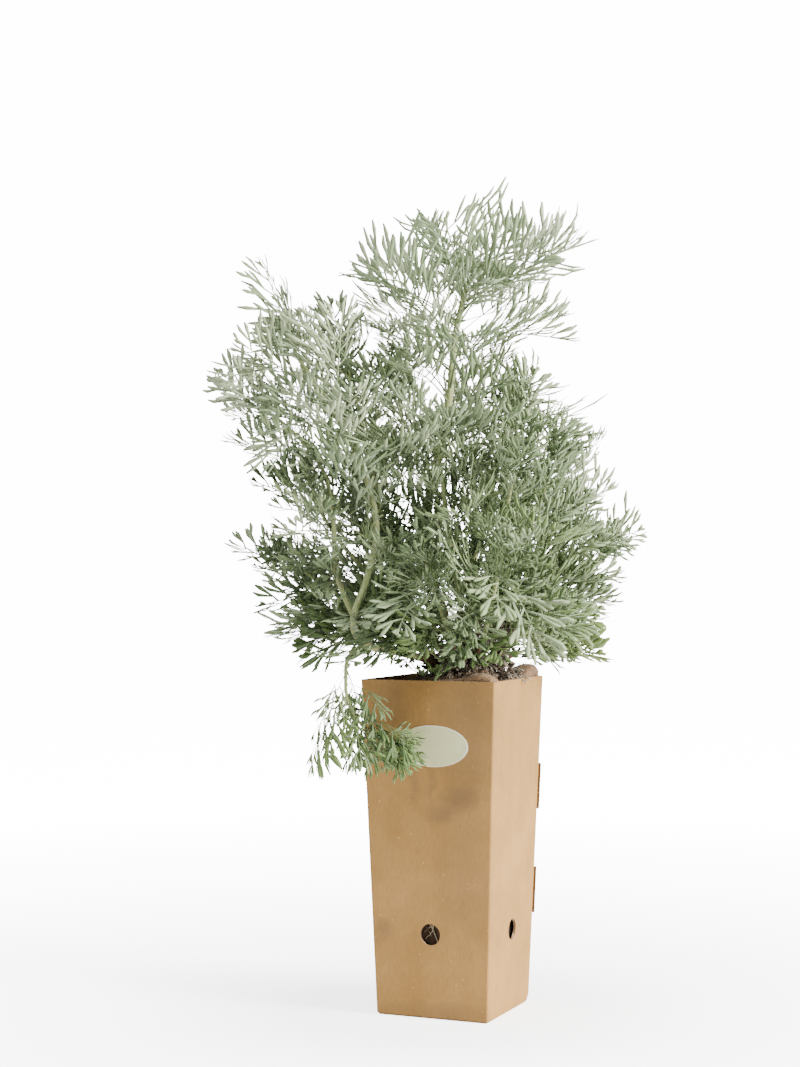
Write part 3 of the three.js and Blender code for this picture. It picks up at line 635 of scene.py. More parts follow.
# %% The felt's lie
MAT_THICK, MAT_CORNER = 6, 30
MAT_HALF = pot_half(SOIL_TOP) - BOARD - 2 * PLAY
MAT_CURLS = [(34, -38, 16, 10), (6, -42, 18, 4), (38, 36, 18, 13), (-30, 38, 20, 4)]
TRUNK_U, TRUNK_FOOT, TRUNK_HIGH, TRUNK_RADII, TRUNK_PLAY = 8, 188, 230, (6.5, 5.6), 0.6
PLANT_TURN = math.radians(21.8)


def in_pot(point):
    """A place of the plant, given as right, back and up in the plant's own directions."""
    u, v, z = point
    return np.array((u * math.cos(PLANT_TURN) - v * math.sin(PLANT_TURN), u * math.sin(PLANT_TURN) + v * math.cos(PLANT_TURN), z))


def mat_rise(x, y):
    rise = 0.8 * math.sin(x / 7 + 1) * math.cos(y / 7)
    for curl_x, curl_y, reach, height in MAT_CURLS:
        rise += height * math.exp(-((x - curl_x) ** 2 + (y - curl_y) ** 2) / reach**2)
    return rise


def on_mat(x, y, share):
    """A height in the felt, from 0 at its underside to 1 at its top."""
    rise = mat_rise(x, y)
    return SOIL_TOP + PLAY + between((max(0, rise - 2), MAT_THICK + rise), share)


trunk_at = in_pot((TRUNK_U, 0, 0))


def has_felt(x, y):
    torn = 2.5 * noise.noise(Vector((x * 0.12, y * 0.12, 3)))
    off_corner = (x + y) / math.sqrt(2) + MAT_HALF * math.sqrt(2) > MAT_CORNER + 1 + torn
    return off_corner and math.hypot(x - trunk_at[0], y - trunk_at[1]) > TRUNK_RADII[0] + TRUNK_PLAY + 0.5 * torn


# %% The felt
coir, coir_shader = new_finish("coir_felt", Roughness=0.9, Specular_IOR_Level=0.2, Sheen_Weight=0.15, Sheen_Roughness=0.5)
spot = object_space(coir)
strands = grain(coir, 1.4, object_space(coir, (1, 1, 2.4)), 4, 0.7)
brown = ramp(coir, strands, (0.3, (0.09, 0.05, 0.026)), (0.52, (0.25, 0.15, 0.08)), (0.74, (0.46, 0.31, 0.18)))
damp = ramp(coir, grain(coir, 22, spot, 3), (0.35, 0.62), (0.6, 1.05))
plug(coir, blend(coir, 1.0, brown, damp, "MULTIPLY"), coir_shader.inputs["Base Color"])
bump(coir, coir_shader, strands, 0.6)

felt = bmesh.new()
bmesh.ops.create_grid(felt, x_segments=74, y_segments=74, size=MAT_HALF)
gone = [face for face in felt.faces if not has_felt(*face.calc_center_median()[:2])]
bmesh.ops.delete(felt, geom=gone, context="FACES")
top = bmesh.ops.extrude_face_region(felt, geom=list(felt.faces))["geom"]
raised = {part for part in top if isinstance(part, bmesh.types.BMVert)}
border = {v for v in felt.verts if v not in raised and any(e.other_vert(v) in raised for e in v.link_edges)}
edge_top = {e.other_vert(v) for v in border for e in v.link_edges if e.other_vert(v) in raised}
for vert in felt.verts:
    x, y, _ = vert.co
    share = 1 if vert in raised else 0
    if vert in edge_top or vert in border:
        share = between((share, 0.5), 0.45)
    vert.co.z = on_mat(x, y, share)
    rough = shake((x, y, share * 9), 2.2, 0.45, 1)
    vert.co += rough if vert in raised else Vector((rough.x, rough.y, 0))
bmesh.ops.recalc_face_normals(felt, faces=felt.faces)
felt_area = sum(face.calc_area() for face in felt.faces) / 2e6
mat = keep("coir_mat_felt", felt, [coir], ["coir_mat"])
print("the felt covers about", round(felt_area, 5), "square metres")

# %% Fibres of the felt
fibre_draw = random.Random(12)
fibre_kinds = []
for kind in range(9):
    fibre = bmesh.new()
    reach, arch = fibre_draw.uniform(4, 9), fibre_draw.uniform(1.5, 4)
    points = [(reach * t, 1.5 * math.sin(3 * t + kind), arch * math.sin(2.6 * t)) for t in np.linspace(0, 1, 6)]
    tube_along(fibre, points, np.linspace(0.13, 0.06, 6), 3)
    mesh = bpy.data.meshes.new("fibre")
    fibre.to_mesh(mesh)
    fibre.free()
    fibre_kinds.append(mesh)

fibres = bmesh.new()
laid = 0
while laid < 1500:
    x, y = (fibre_draw.uniform(-MAT_HALF, MAT_HALF) for _ in "xy")
    if not has_felt(x, y):
        continue
    edge = max(abs(x), abs(y)) > MAT_HALF - 4
    turn = Euler((fibre_draw.uniform(-0.5, 0.5), fibre_draw.uniform(-0.35, 0.25), fibre_draw.uniform(0, 6.3)))
    place = Matrix.Translation((x, y, on_mat(x, y, fibre_draw.uniform(0.2, 0.95) if edge else 0.95)))
    size = Matrix.Scale(fibre_draw.uniform(0.5, 1.0), 4)
    put_down(fibres, fibre_draw.choice(fibre_kinds), place @ turn.to_matrix().to_4x4() @ size)
    laid += 1
limit = pot_half(POT_HEIGHT) - BOARD
for vert in fibres.verts:
    vert.co.x = max(-limit, min(limit, vert.co.x))
    vert.co.y = max(-limit, min(limit, vert.co.y))
fibre_piece = keep("coir_fibres", fibres, [coir])

# %% [markdown]
# ## How the plant grows
# The frame holds one solid for each leafy shoot, and its leaves stand where a rule put them: a stem
# runs smoothly through a few points, leaves leave it at about the golden angle one after another, and
# each leaf takes the first of a few turns that keeps it clear of what already grows there. The same
# rule is worked out here again, so that every fine leaf sits on the rib of its plain one. Points are
# given as right, back and up, as seen from the front right corner of the pot.

# %% The shoots
SHOOTS = [
    dict(
        name="leader", wood=92, first=0.52, leaves=14, radius=3.2,
        size=(98, 88), spread=(74, 44), droop=(0.05, -0.2),
        path=(
          (8, 0, 218), (-6, -4, 262), (-20, -6, 312), (-14, -4, 350), (-3, 0, 406), (1, 0, 447),
          (6, 0, 471), (9, -2, 484),
        ),
    ),
    dict(
        name="left_arch", wood=46, first=0.52, leaves=8, radius=2.3,
        size=(80, 64), spread=(66, 22), droop=(0.1, -0.04),
        path=(
          (7, -1, 222), (-28, -28, 236), (-58, -42, 244), (-65, -46, 260), (-57, -46, 284),
          (-50, -44, 318), (-57, -42, 352), (-70, -38, 380), (-88, -34, 410), (-104, -30, 434),
        ),
    ),
    dict(
        name="left_upright", fork=("left_arch", 0.3), first=0.34, leaves=6, radius=1.7,
        size=(72, 56), spread=(64, 20), droop=(0.08, -0.06),
        path=(
          (-74, -40, 282), (-78, -35, 304), (-79, -34, 330), (-86, -32, 358), (-103, -30, 380),
          (-119, -28, 394),
        ),
    ),
    dict(
        name="trailing", fork=("left_arch", 0.27), lowest=158, first=0.4, leaves=5, radius=1.3,
        size=(50, 36), spread=(56, 20), droop=(0.3, 0.12),
        path=((-67, -57, 237), (-69, -65, 222), (-67, -69, 207), (-59, -71, 194), (-48, -71, 185)),
    ),
    dict(
        name="rear_left_crest", wood=56, first=0.5, leaves=6, radius=2,
        size=(78, 50), spread=(58, 18), droop=(0.06, -0.04),
        path=(
          (7, 2, 222), (-8, 25, 262), (-24, 40, 320), (-32, 46, 372), (-36, 48, 400),
          (-37, 48, 414),
        ),
    ),
    dict(
        name="left_crest", wood=56, first=0.5, leaves=7, radius=2,
        size=(78, 50), spread=(58, 18), droop=(0.05, -0.04),
        path=(
          (6, 1, 222), (-24, 8, 262), (-46, 12, 320), (-58, 14, 372), (-66, 14, 406),
          (-72, 12, 430),
        ),
    ),
    dict(
        name="right_crest", wood=62, first=0.5, leaves=7, radius=2.2,
        size=(78, 50), spread=(56, 18), droop=(0.06, -0.04),
        path=((9, 1, 222), (11, 4, 283), (20, 5, 323), (27, 6, 353), (34, 10, 380), (38, 12, 398)),
    ),
    dict(
        name="right_high", wood=52, first=0.42, leaves=7, radius=2,
        size=(74, 48), spread=(58, 20), droop=(0.1, -0.04),
        path=((10, -1, 222), (26, -12, 262), (42, -20, 306), (56, -24, 336), (64, -24, 354)),
    ),
    dict(
        name="right_mid", wood=50, first=0.5, leaves=6, radius=1.9,
        size=(70, 46), spread=(58, 20), droop=(0.14, 0),
        path=((10, 1, 222), (34, 14, 260), (52, 22, 292), (66, 26, 314), (74, 26, 326)),
    ),
    dict(
        name="far_right", wood=46, first=0.42, leaves=6, radius=1.9,
        size=(62, 42), spread=(56, 20), droop=(0.1, 0.04),
        path=((11, 0, 220), (40, 0, 252), (62, -2, 280), (76, -5, 297), (90, -6, 307)),
    ),
    dict(
        name="right_low", wood=40, first=0.42, leaves=4, radius=1.7,
        size=(60, 42), spread=(58, 22), droop=(0.2, 0.1),
        path=((11, -2, 219), (34, -22, 240), (48, -33, 252), (56, -38, 257)),
    ),
    dict(
        name="rim_right", wood=40, first=0.5, leaves=4, radius=1.5,
        size=(56, 42), spread=(58, 22), droop=(0.2, 0.12),
        path=((11, 1, 217), (38, 9, 233), (52, 13, 239), (62, 15, 242)),
    ),
    dict(
        name="far_left", wood=50, first=0.45, leaves=5, radius=1.7,
        size=(70, 50), spread=(58, 20), droop=(0.18, 0.1),
        path=((6, 1, 220), (-36, 10, 250), (-70, 14, 270), (-94, 16, 286), (-107, 16, 295)),
    ),
    dict(
        name="left_low", wood=46, first=0.48, leaves=4, radius=1.6,
        size=(64, 46), spread=(60, 22), droop=(0.26, 0.14),
        path=((6, 0, 218), (-32, -3, 244), (-60, -5, 258), (-83, -6, 265)),
    ),
    dict(
        name="front_left", wood=40, first=0.45, leaves=5, radius=1.7,
        size=(70, 46), spread=(64, 26), droop=(0.36, 0.18),
        path=((7, -2, 219), (-3, -32, 250), (-12, -52, 276), (-18, -62, 292)),
    ),
    dict(
        name="front_right", wood=40, first=0.45, leaves=5, radius=1.7,
        size=(72, 46), spread=(64, 26), droop=(0.36, 0.18),
        path=((9, -2, 219), (20, -36, 250), (26, -56, 278), (30, -68, 298)),
    ),
    dict(
        name="rear_high", wood=54, first=0.45, leaves=5, radius=2.0,
        size=(78, 52), spread=(58, 18), droop=(0.1, -0.04),
        path=((8, 2, 222), (12, 36, 268), (15, 58, 326), (15, 70, 382)),
    ),
    dict(
        name="rear_left", wood=52, first=0.45, leaves=5, radius=1.8,
        size=(74, 52), spread=(58, 20), droop=(0.16, 0),
        path=((6, 2, 220), (-22, 38, 256), (-44, 62, 298), (-56, 78, 332)),
    ),
    dict(
        name="rear_right", wood=52, first=0.45, leaves=4, radius=1.8,
        size=(74, 52), spread=(58, 20), droop=(0.16, 0),
        path=((10, 2, 220), (34, 36, 256), (54, 60, 294), (64, 76, 328)),
    ),
    dict(
        name="left_front", wood=50, first=0.5, leaves=5, radius=1.7,
        size=(68, 48), spread=(60, 22), droop=(0.22, 0.1),
        path=((6, -1, 221), (-38, -10, 270), (-70, -14, 304), (-84, -24, 324), (-92, -32, 340)),
    ),
    dict(
        name="front_top", wood=52, first=0.48, leaves=6, radius=1.9,
        size=(72, 50), spread=(60, 22), droop=(0.18, 0),
        path=((8, -2, 222), (4, -22, 272), (-4, -38, 320), (-8, -48, 356), (-10, -52, 370)),
    ),
    dict(
        name="front_right_top", wood=50, first=0.48, leaves=6, radius=1.9,
        size=(72, 50), spread=(60, 22), droop=(0.18, 0),
        path=((9, -2, 222), (21, -26, 270), (31, -44, 316), (38, -56, 350)),
    ),
    dict(
        name="rim_front", wood=30, first=0.6, leaves=3, radius=1.4,
        size=(52, 38), spread=(58, 24), droop=(0.26, 0.14),
        path=((7, -2, 217), (-12, -26, 236), (-26, -42, 244)),
    ),
    dict(
        name="rear_far_left", wood=50, first=0.48, leaves=4, radius=1.7,
        size=(70, 50), spread=(58, 20), droop=(0.2, 0.1),
        path=((6, 1, 219), (-40, 33, 250), (-72, 48, 274), (-90, 54, 288)),
    ),
    dict(
        name="rear_far_right", wood=50, first=0.48, leaves=4, radius=1.7,
        size=(66, 46), spread=(58, 20), droop=(0.2, 0.1),
        path=((10, 1, 219), (38, 28, 246), (56, 42, 268), (66, 49, 282)),
    ),
]
print(len(SHOOTS), "shoots")

# %% [markdown]
# ## The line of a stem
# A Catmull-Rom curve goes through all its points, and its handles come from the neighbours on both
# sides. To walk along it by length, it is sampled at 200 steps, and a length is looked up among them.
# At each place the stem has its own direction and two sideways ones, from which leaves are turned out.

# %% A line measured by its length
STEADY = np.array((0.62, 0.68, -0.39))
DOWN = np.array((0.0, 0.0, -1.0))


class StemLine:
    def __init__(self, points):
        points = np.array(points, float)
        self.spans = len(points) - 1
        self.points = np.vstack([2 * points[0] - points[1], points, 2 * points[-1] - points[-2]])
        self.times = np.linspace(0, 1, 201)
        spots = np.array([self.spot(time) for time in self.times])
        self.lengths = np.concatenate([[0], np.cumsum(np.linalg.norm(np.diff(spots, axis=0), axis=1))])
        self.length = self.lengths[-1]

    def spot(self, time):
        span = min(int(self.spans * time), self.spans - 1)
        share = self.spans * time - span
        before, one, two, after = self.points[span:span + 4]
        leave, arrive = (two - before) / 2, (after - one) / 2
        square = -3 * one + 3 * two - 2 * leave - arrive
        cube = 2 * one - 2 * two + leave + arrive
        return one + leave * share + square * share**2 + cube * share**3

    def at(self, distance):
        distance = min(max(distance, 0), self.length)
        time = np.interp(distance, self.lengths, self.times)
        along = unit(self.spot(min(time + 1e-4, 1)) - self.spot(max(time - 1e-4, 0)))
        side = unit(np.cross(STEADY, along))
        return self.spot(time), along, side, np.cross(side, along)


# %% [markdown]
# ## The stand of a leaf
# A leaf is laid out flat first, along its rib and to its sides, and then bent: it sets off from the
# stem in its own direction and droops with the square of the way along, and its blade lifts a little
# to both sides of the rib. The pinnae are the small feathers in pairs on the rib.

# %% Leaf rules
STEM_STEP, STEM_TIP, STEM_SINK = 25, 0.5, 4
RIB, PETIOLE, MIDDLE, LAST, PINNA, WIDEST, NARROWING = 0.6, 0.36, 0.7, 0.9, 0.28, 0.4, 0.6
LIFT, BAR, PAIR_LENGTHS, SWEEP = 0.16, 1.2, (0, 0, 0, 60, 86), math.radians(46)
REACH = dict(left=-163, right=131, front=-122, rear=122, top=543, lowest=226)
MARGIN, RIM, WALL, HEART, HIGH, NEAR = 0.5, 232, 50, 20, 246, 16


def stem_radius(shoot, distance):
    return shoot["radius"] * between((1, STEM_TIP), distance / shoot["line"].length)


def ring_count(length):
    return max(2, math.floor(length / STEM_STEP + 0.5))


def middle_of(shoot, distance):
    """The middle of the plain stem, which is straight between its rings."""
    length, foot = shoot["line"].length, shoot["foot"]
    span = (length - foot) / ring_count(length - foot)
    ring = math.floor((distance - foot) / span)
    low, high = (shoot["line"].at(foot + k * span)[0] for k in (ring, ring + 1))
    return between((low, high), (distance - foot) / span - ring)


def bend(leaf, flat):
    """Flat places, as rows of along, aside and lift in millimetres, on the bent leaf."""
    flat = np.atleast_2d(np.array(flat, float))
    along, aside, lift = flat[:, :1], flat[:, 1:2], flat[:, 2:3]
    share = along / leaf["length"]
    point = leaf["root"] + leaf["start"] * along + DOWN * (leaf["droop"] * leaf["length"]) * share**2
    way = unit(leaf["start"] + DOWN * 2 * leaf["droop"] * share)
    side = unit(leaf["side"] - way * (way @ leaf["side"])[:, None])
    return point + side * aside + np.cross(way, side) * (lift + LIFT * np.abs(aside))


def pinnae(length):
    """For each pair: where its stretch of the rib starts and ends, and its tip's place on the blade."""
    pairs = sum(length > least for least in PAIR_LENGTHS)
    first = length * PETIOLE
    pitch = (length * LAST - first) / pairs
    made = []
    for k in range(pairs):
        size = length * PINNA * (1 - abs((k + 0.5) / pairs - WIDEST) * NARROWING)
        start = first + k * pitch
        made.append((start, start + pitch, (start + pitch / 2 + size * math.cos(SWEEP), RIB + size * math.sin(SWEEP))))
    return made


def bars_of(leaf):
    """The thin bars that stand for a leaf where leaves are kept apart."""
    length = leaf["length"]
    stops = [STEM_SINK + 2, length * PETIOLE, length * MIDDLE, length]
    ends = [((one, 0, 0), (two, 0, 0)) for one, two in zip(stops, stops[1:])]
    for start, stop, tip in pinnae(length):
        for side in (-1, 1):
            ends += [((foot, 0, 0), (tip[0], side * tip[1], 0)) for foot in (start, (start + stop) / 2, stop)]
    return bend(leaf, [a for a, _ in ends]), bend(leaf, [b for _, b in ends])


# %% [markdown]
# ## Keeping leaves apart
# Two thin bars are apart when the shortest way between their middle lines is longer than their radii.
# numpy works that out for all bars of two leaves at once. Leaves that are far away from each other
# are left out first, by the balls that hold them.


# %% Room between bars
def bundle(starts, ends, radius, owner, is_stem):
    corners = np.vstack([starts, ends])
    low, high = corners.min(axis=0), corners.max(axis=0)
    ball = ((low + high) / 2, np.linalg.norm(high - low) / 2)
    return dict(starts=starts, ways=ends - starts, ends=ends, radius=radius, owner=owner, is_stem=is_stem, ball=ball)


def least_room(one, other):
    d1, d2 = one["ways"][:, None], other["ways"][None]
    apart = one["starts"][:, None] - other["starts"][None]
    a, e, b = (d1 * d1).sum(-1), (d2 * d2).sum(-1), (d1 * d2).sum(-1)
    c, f = (d1 * apart).sum(-1), (d2 * apart).sum(-1)
    spread = a * e - b * b
    s = np.where(spread > 1e-6, np.clip((b * f - c * e) / np.where(spread > 1e-6, spread, 1), 0, 1), 0)
    t = (b * s + f) / e
    s = np.where(t < 0, np.clip(-c / a, 0, 1), np.where(t > 1, np.clip((b - c) / a, 0, 1), s))
    nearest = apart + d1 * s[..., None] - d2 * np.clip(t, 0, 1)[..., None]
    return np.linalg.norm(nearest, axis=-1).min() - one["radius"] - other["radius"]


def in_reach(points, lowest=REACH["lowest"]):
    x, y, z = points.T
    u = x * math.cos(PLANT_TURN) + y * math.sin(PLANT_TURN)
    v = y * math.cos(PLANT_TURN) - x * math.sin(PLANT_TURN)
    off_pot = (z > RIM) | (np.maximum(abs(x), abs(y)) > WALL)
    inside = (u > REACH["left"]) & (u < REACH["right"]) & (v > REACH["front"]) & (v < REACH["rear"])
    return bool(np.all(off_pot & inside & (z > lowest) & (z < REACH["top"])))


def fits(new, taken, lowest):
    if not (in_reach(new["starts"], lowest) and in_reach(new["ends"], lowest)):
        return False
    for other in taken:
        same = other["owner"] == new["owner"]
        if other["is_stem"] and same:
            continue
        if np.linalg.norm(other["ball"][0] - new["ball"][0]) > other["ball"][1] + new["ball"][1] + NEAR:
            continue
        if least_room(new, other) <= (0 if same else MARGIN):
            return False
    return True


# %% [markdown]
# ## Growing
# The draws come from a plain counting rule, so that they are the same on every computer: each leaf
# takes one for its turn, one for its length and one for its tilt.


# %% Grow all shoots
def seeded(seed):
    state = seed
    while True:
        state = (state * 1664525 + 1013904223) % 2**32
        yield state / 2**32


def turned(first, second, angle):
    return first * math.cos(angle) + second * math.sin(angle)


def turn_about(vector, axis, angle):
    return (vector * math.cos(angle) + np.cross(axis, vector) * math.sin(angle)
            + axis * np.dot(axis, vector) * (1 - math.cos(angle)))


def place_leaf(shoot, index, draw, taken):
    share = index / (shoot["leaves"] - 1)
    stem = shoot["line"].length
    lowest = max(shoot["first"] * stem, shoot["foot"] + STEM_SINK)
    distance = min(between((lowest, stem), 1 - (1 - share) ** 1.25), stem - STEM_SINK)
    _, along, side, back = shoot["line"].at(distance)
    root = middle_of(shoot, distance)
    heading = 137.5 * index + shoot["phase"] + 24 * (next(draw) - 0.5)
    length = between(shoot["size"], share) * between((0.9, 1.1), next(draw))
    tilt = math.radians(22 * (next(draw) - 0.5) * 2)
    for size in (1, 0.87, 0.74):
        for lean in (1, 0.7, 1.3):
            for turn in (0, 30, -30, 60, -60, 95, -95, 140, -140):
                outward = turned(side, back, math.radians(heading + turn))
                start = turned(along, outward, math.radians(between(shoot["spread"], share) * lean))
                across = turn_about(np.cross(along, outward), start, tilt)
                leaf = dict(root=root, start=start, side=across, length=length * size,
                            droop=between(shoot["droop"], share), share=share, distance=distance)
                new = bundle(*bars_of(leaf), BAR, shoot["owner"], False)
                if fits(new, taken, shoot.get("lowest", REACH["lowest"])):
                    taken.append(new)
                    return leaf
    return None


shoots, taken = [], []
for entry in SHOOTS:
    shoot = dict(entry, owner=entry["name"], foot=entry["wood"] + PLAY if "wood" in entry else 0)
    path = [in_pot(point) for point in entry["path"]]
    if "fork" in entry:
        parent = next(s for s in shoots if s["name"] == entry["fork"][0])
        path.insert(0, middle_of(parent, parent["line"].length * entry["fork"][1]))
        shoot["owner"] = parent["name"]
    shoot["line"] = StemLine(path)
    shoot["phase"] = 63 + 77 * len(shoots)
    shoots.append(shoot)

heart = in_pot((TRUNK_U, 0, 0)) * (1, 1, 0)
taken.append(bundle(heart[None] + (0, 0, SOIL_TOP), heart[None] + (0, 0, HIGH), HEART, "woody_crown", True))
for shoot in shoots:
    for start, stop, owner in ((0, shoot["foot"], "woody_crown"), (shoot["foot"], shoot["line"].length, shoot["owner"])):
        if stop > start:
            steps = ring_count(stop - start)
            spots = np.array([shoot["line"].at(between((start, stop), k / steps))[0] for k in range(steps + 1)])
            for one, two in zip(spots, spots[1:]):
                taken.append(bundle(one[None], two[None], stem_radius(shoot, start), owner, True))
draw = seeded(10)
for shoot in shoots:
    grown = [place_leaf(shoot, index, draw, taken) for index in range(shoot["leaves"])]
    shoot["blades"] = [leaf for leaf in grown if leaf]
print("leaves that follow the frame:", sum(len(shoot["blades"]) for shoot in shoots))

# %% [markdown]
# ## Bark
# The young wood is grey-brown and thin-skinned, reddish on the limbs, with fine upright cracks and the
# short scars where leaves have dropped. Noise that is stretched upwards gives the cracks.

# %% The bark's finish
bark, bark_shader = new_finish("bark", Roughness=0.8, Specular_IOR_Level=0.25)
spot = object_space(bark)
cracks = grain(bark, 1.1, object_space(bark, (1, 1, 0.3)), 5, 0.65)
skin = ramp(bark, cracks, (0.3, (0.04, 0.022, 0.013)), (0.5, (0.16, 0.09, 0.05)), (0.72, (0.33, 0.23, 0.14)))
height_on = add(bark, "SeparateXYZ", Vector=object_space(bark)).outputs["Z"]
young = add(bark, "MapRange", Value=height_on, _1=0.235, _2=0.31).outputs[0]
green = ramp(bark, cracks, (0.3, (0.12, 0.13, 0.06)), (0.7, (0.34, 0.32, 0.17)))
skin = blend(bark, add(bark, "Math", {"operation": "MULTIPLY"}, _0=young, _1=0.75).outputs[0], skin, green)
plug(bark, skin, bark_shader.inputs["Base Color"])
bump(bark, bark_shader, cracks, 0.35)

# %% [markdown]
# ## The woody crown
# A short trunk stands in the soil and forks low into many limbs, one for each shoot. Each limb is a
# round tube along its stem's own line, drawn out in short steps, so that it can swell at its nodes
# and stay a little crooked. All of them run into the trunk's head, which is swollen from pruning.

# %% Trunk and limbs
crown = bmesh.new()
trunk_heights = np.linspace(TRUNK_FOOT, TRUNK_HIGH + 3, 15)
trunk_line = []
trunk_widths = []
for z in trunk_heights:
    share = (z - TRUNK_FOOT) / (TRUNK_HIGH - TRUNK_FOOT)
    knob = 1.3 * math.exp(-(((z - 224) / 5) ** 2))
    trunk_line.append(trunk_at + np.array((0.5 * math.sin(z * 0.3), 0.4 * math.cos(z * 0.27), z)) * (1, 1, 1))
    trunk_widths.append(between(TRUNK_RADII, min(share, 1)) * (0.97 + 0.04 * math.sin(z)) + knob)
trunk_widths[-1] *= 0.55
tube_along(crown, trunk_line, trunk_widths, 20)
for shoot in shoots:
    if "wood" not in shoot:
        continue
    stops = np.arange(0, shoot["foot"] + 6, 2.2)
    line = [shoot["line"].at(stop)[0] for stop in stops]
    swell = [1 + 0.16 * max(0, math.sin(stop * 0.55 + shoot["phase"])) ** 4 for stop in stops]
    widths = [stem_radius(shoot, stop) * fat for stop, fat in zip(stops, swell)]
    widths[-1] *= 0.8
    tube_along(crown, line, widths, 10)
for vert in crown.verts:
    vert.co += shake(vert.co, 3, 0.28) + shake(vert.co, 1.1, 0.12, 3)
keep("woody_crown_bark", crown, [bark], ["woody_crown"])

# %% [markdown]
# ## A leaf, laid out flat
# A leaf of this wormwood is cut twice: its rib carries three to five pairs of pinnae, and each pinna
# is cut again into a few narrow lobes with round tips. It could be one plate with a picture of a leaf
# on it, but then it has no edges that catch light. So a few kinds are drawn out as solids, flat and
# one unit long, and each leaf on the plant is a bent copy of one of them. Fine kinds with slim lobes
# grow high on the plant, and broad ones with blunt lobes low on it.


# %% Draw a lobe
def lobe(bm, foot, heading, length, width, curve, climb, profile):
    """A flat strip that widens and ends round. heading turns by curve on the way, and it climbs off the plane."""
    place = np.array(foot, float)
    rings = []
    last = 0.0
    for share, fat in profile:
        middle = heading + curve * (share + last) / 2
        place = place + np.array((math.cos(middle), math.sin(middle), climb * (share + last))) * length * (share - last)
        last = share
        way = heading + curve * share
        side = np.array((-math.sin(way), math.cos(way), 0)) * width * fat / 2
        rings.append((place, side, np.array((0, 0, 1)) * max(width * fat * 0.16, 0.0022)))
    draw_out(bm, rings, 4)


FINE_PINNA = 0.37
LOBE = ((0, 0.36), (0.72, 1.0), (1.0, 0.4))
PINNA_RIB = ((0, 0.42), (0.35, 0.42), (0.84, 1.0), (1.0, 0.4))


def pinna(bm, foot, tip, width, lobes, draw):
    """A pinna from its foot on the rib to its tip, with side lobes."""
    side = math.copysign(1, tip[1])
    way = np.array(tip) - np.array(foot)
    length = float(np.hypot(*way)) * draw.uniform(0.96, 1.14)
    heading = math.atan2(way[1], way[0]) + side * 0.2
    curve, climb = -side * 0.42, draw.uniform(0.02, 0.3)
    lobe(bm, (*foot, 0), heading, length, width, curve, climb, PINNA_RIB)
    for count in range(lobes):
        share = 0.3 + 0.42 * count / max(lobes - 1, 1) + draw.uniform(-0.04, 0.04)
        flip = side if count % 2 else -side
        turn = heading + curve * share / 2
        at = np.array(foot) + np.array((math.cos(turn), math.sin(turn))) * length * share
        reach = length * draw.uniform(0.5, 0.85) * (1.15 - 0.45 * share)
        lobe(bm, (*at, climb * length * share**2), heading + curve * share + flip * draw.uniform(0.5, 0.72), reach,
             width * draw.uniform(0.8, 1.05), -flip * 0.42, climb + draw.uniform(-0.15, 0.45), LOBE)


# %% Draw a leaf
def flat_leaf(pairs, width, seed):
    """A leaf one unit long, with that many pairs of pinnae and lobes of that width."""
    draw = random.Random(seed)
    bm = bmesh.new()
    stops = np.linspace(-0.01, 0.93, 7)
    fat = np.interp(stops, (0, 0.08, 0.4, 0.93), (0.032, 0.017, 0.014, 0.011))
    draw_out(bm, [((x, 0, 0), (0, w / 2, 0), (0, 0, w * 0.36)) for x, w in zip(stops, fat)], 5)
    first = PETIOLE
    pitch = (LAST - first) / pairs
    for k in range(pairs):
        size = FINE_PINNA * (1 - abs((k + 0.5) / pairs - WIDEST) * NARROWING)
        size = min(size, (1.03 - first - (k + 0.5) * pitch) / math.cos(SWEEP))
        for side in (-1, 1):
            foot = first + (k + 0.3 + 0.14 * side + draw.uniform(-0.08, 0.08)) * pitch
            tip = (first + (k + 0.5) * pitch + size * math.cos(SWEEP), side * (0.008 + size * math.sin(SWEEP)))
            lobes = 2 if k < pairs - 1 else 1
            pinna(bm, (foot, 0), tip, width, lobes, draw)
    pinna(bm, (LAST - 0.04, 0), (1.0, 0.006), width, 2, draw)
    bmesh.ops.recalc_face_normals(bm, faces=bm.faces)
    mesh = bpy.data.meshes.new("flat_leaf")
    bm.to_mesh(mesh)
    bm.free()
    return mesh


LEAF_KINDS = {
    (style, pairs): [flat_leaf(pairs, width * fat, 100 * pairs + 10 * kind + 3) for kind in range(3)]
    for style, fat in (("fine", 1.0), ("broad", 1.4))
    for pairs, width in ((2, 0.072), (3, 0.054), (4, 0.043), (5, 0.035))
}
print({name: len(kinds[0].polygons) for name, kinds in LEAF_KINDS.items()})

# %% [markdown]
# ## Foliage
# The silver of the leaves is a coat of short silky hairs over a sage green skin. Real hair can't be
# part of a solid, so the finish does it: a sheen that is pale at grazing angles, a rough surface, and
# fine streaks. Each leaf carries a tint, written on its points: how green it is, which also darkens
# leaves deep inside the crown as painted shade, how far a point is from the leaf's foot, and a random
# share, so that no two leaves look painted from one pot.

# %% The foliage's finish
foliage, foliage_shader = new_finish("foliage", Roughness=0.62, Specular_IOR_Level=0.3, Sheen_Weight=0.22, Sheen_Roughness=0.4)
foliage_shader.inputs["Sheen Tint"].default_value = (0.86, 0.92, 0.86, 1)
tint = add(foliage, "Attribute", {"attribute_type": "GEOMETRY", "attribute_name": "tint"}).outputs["Color"]
parts = add(foliage, "SeparateColor", Color=tint).outputs
spot = object_space(foliage)
silver = blend(foliage, parts[2], (0.215, 0.29, 0.145), (0.44, 0.51, 0.325))
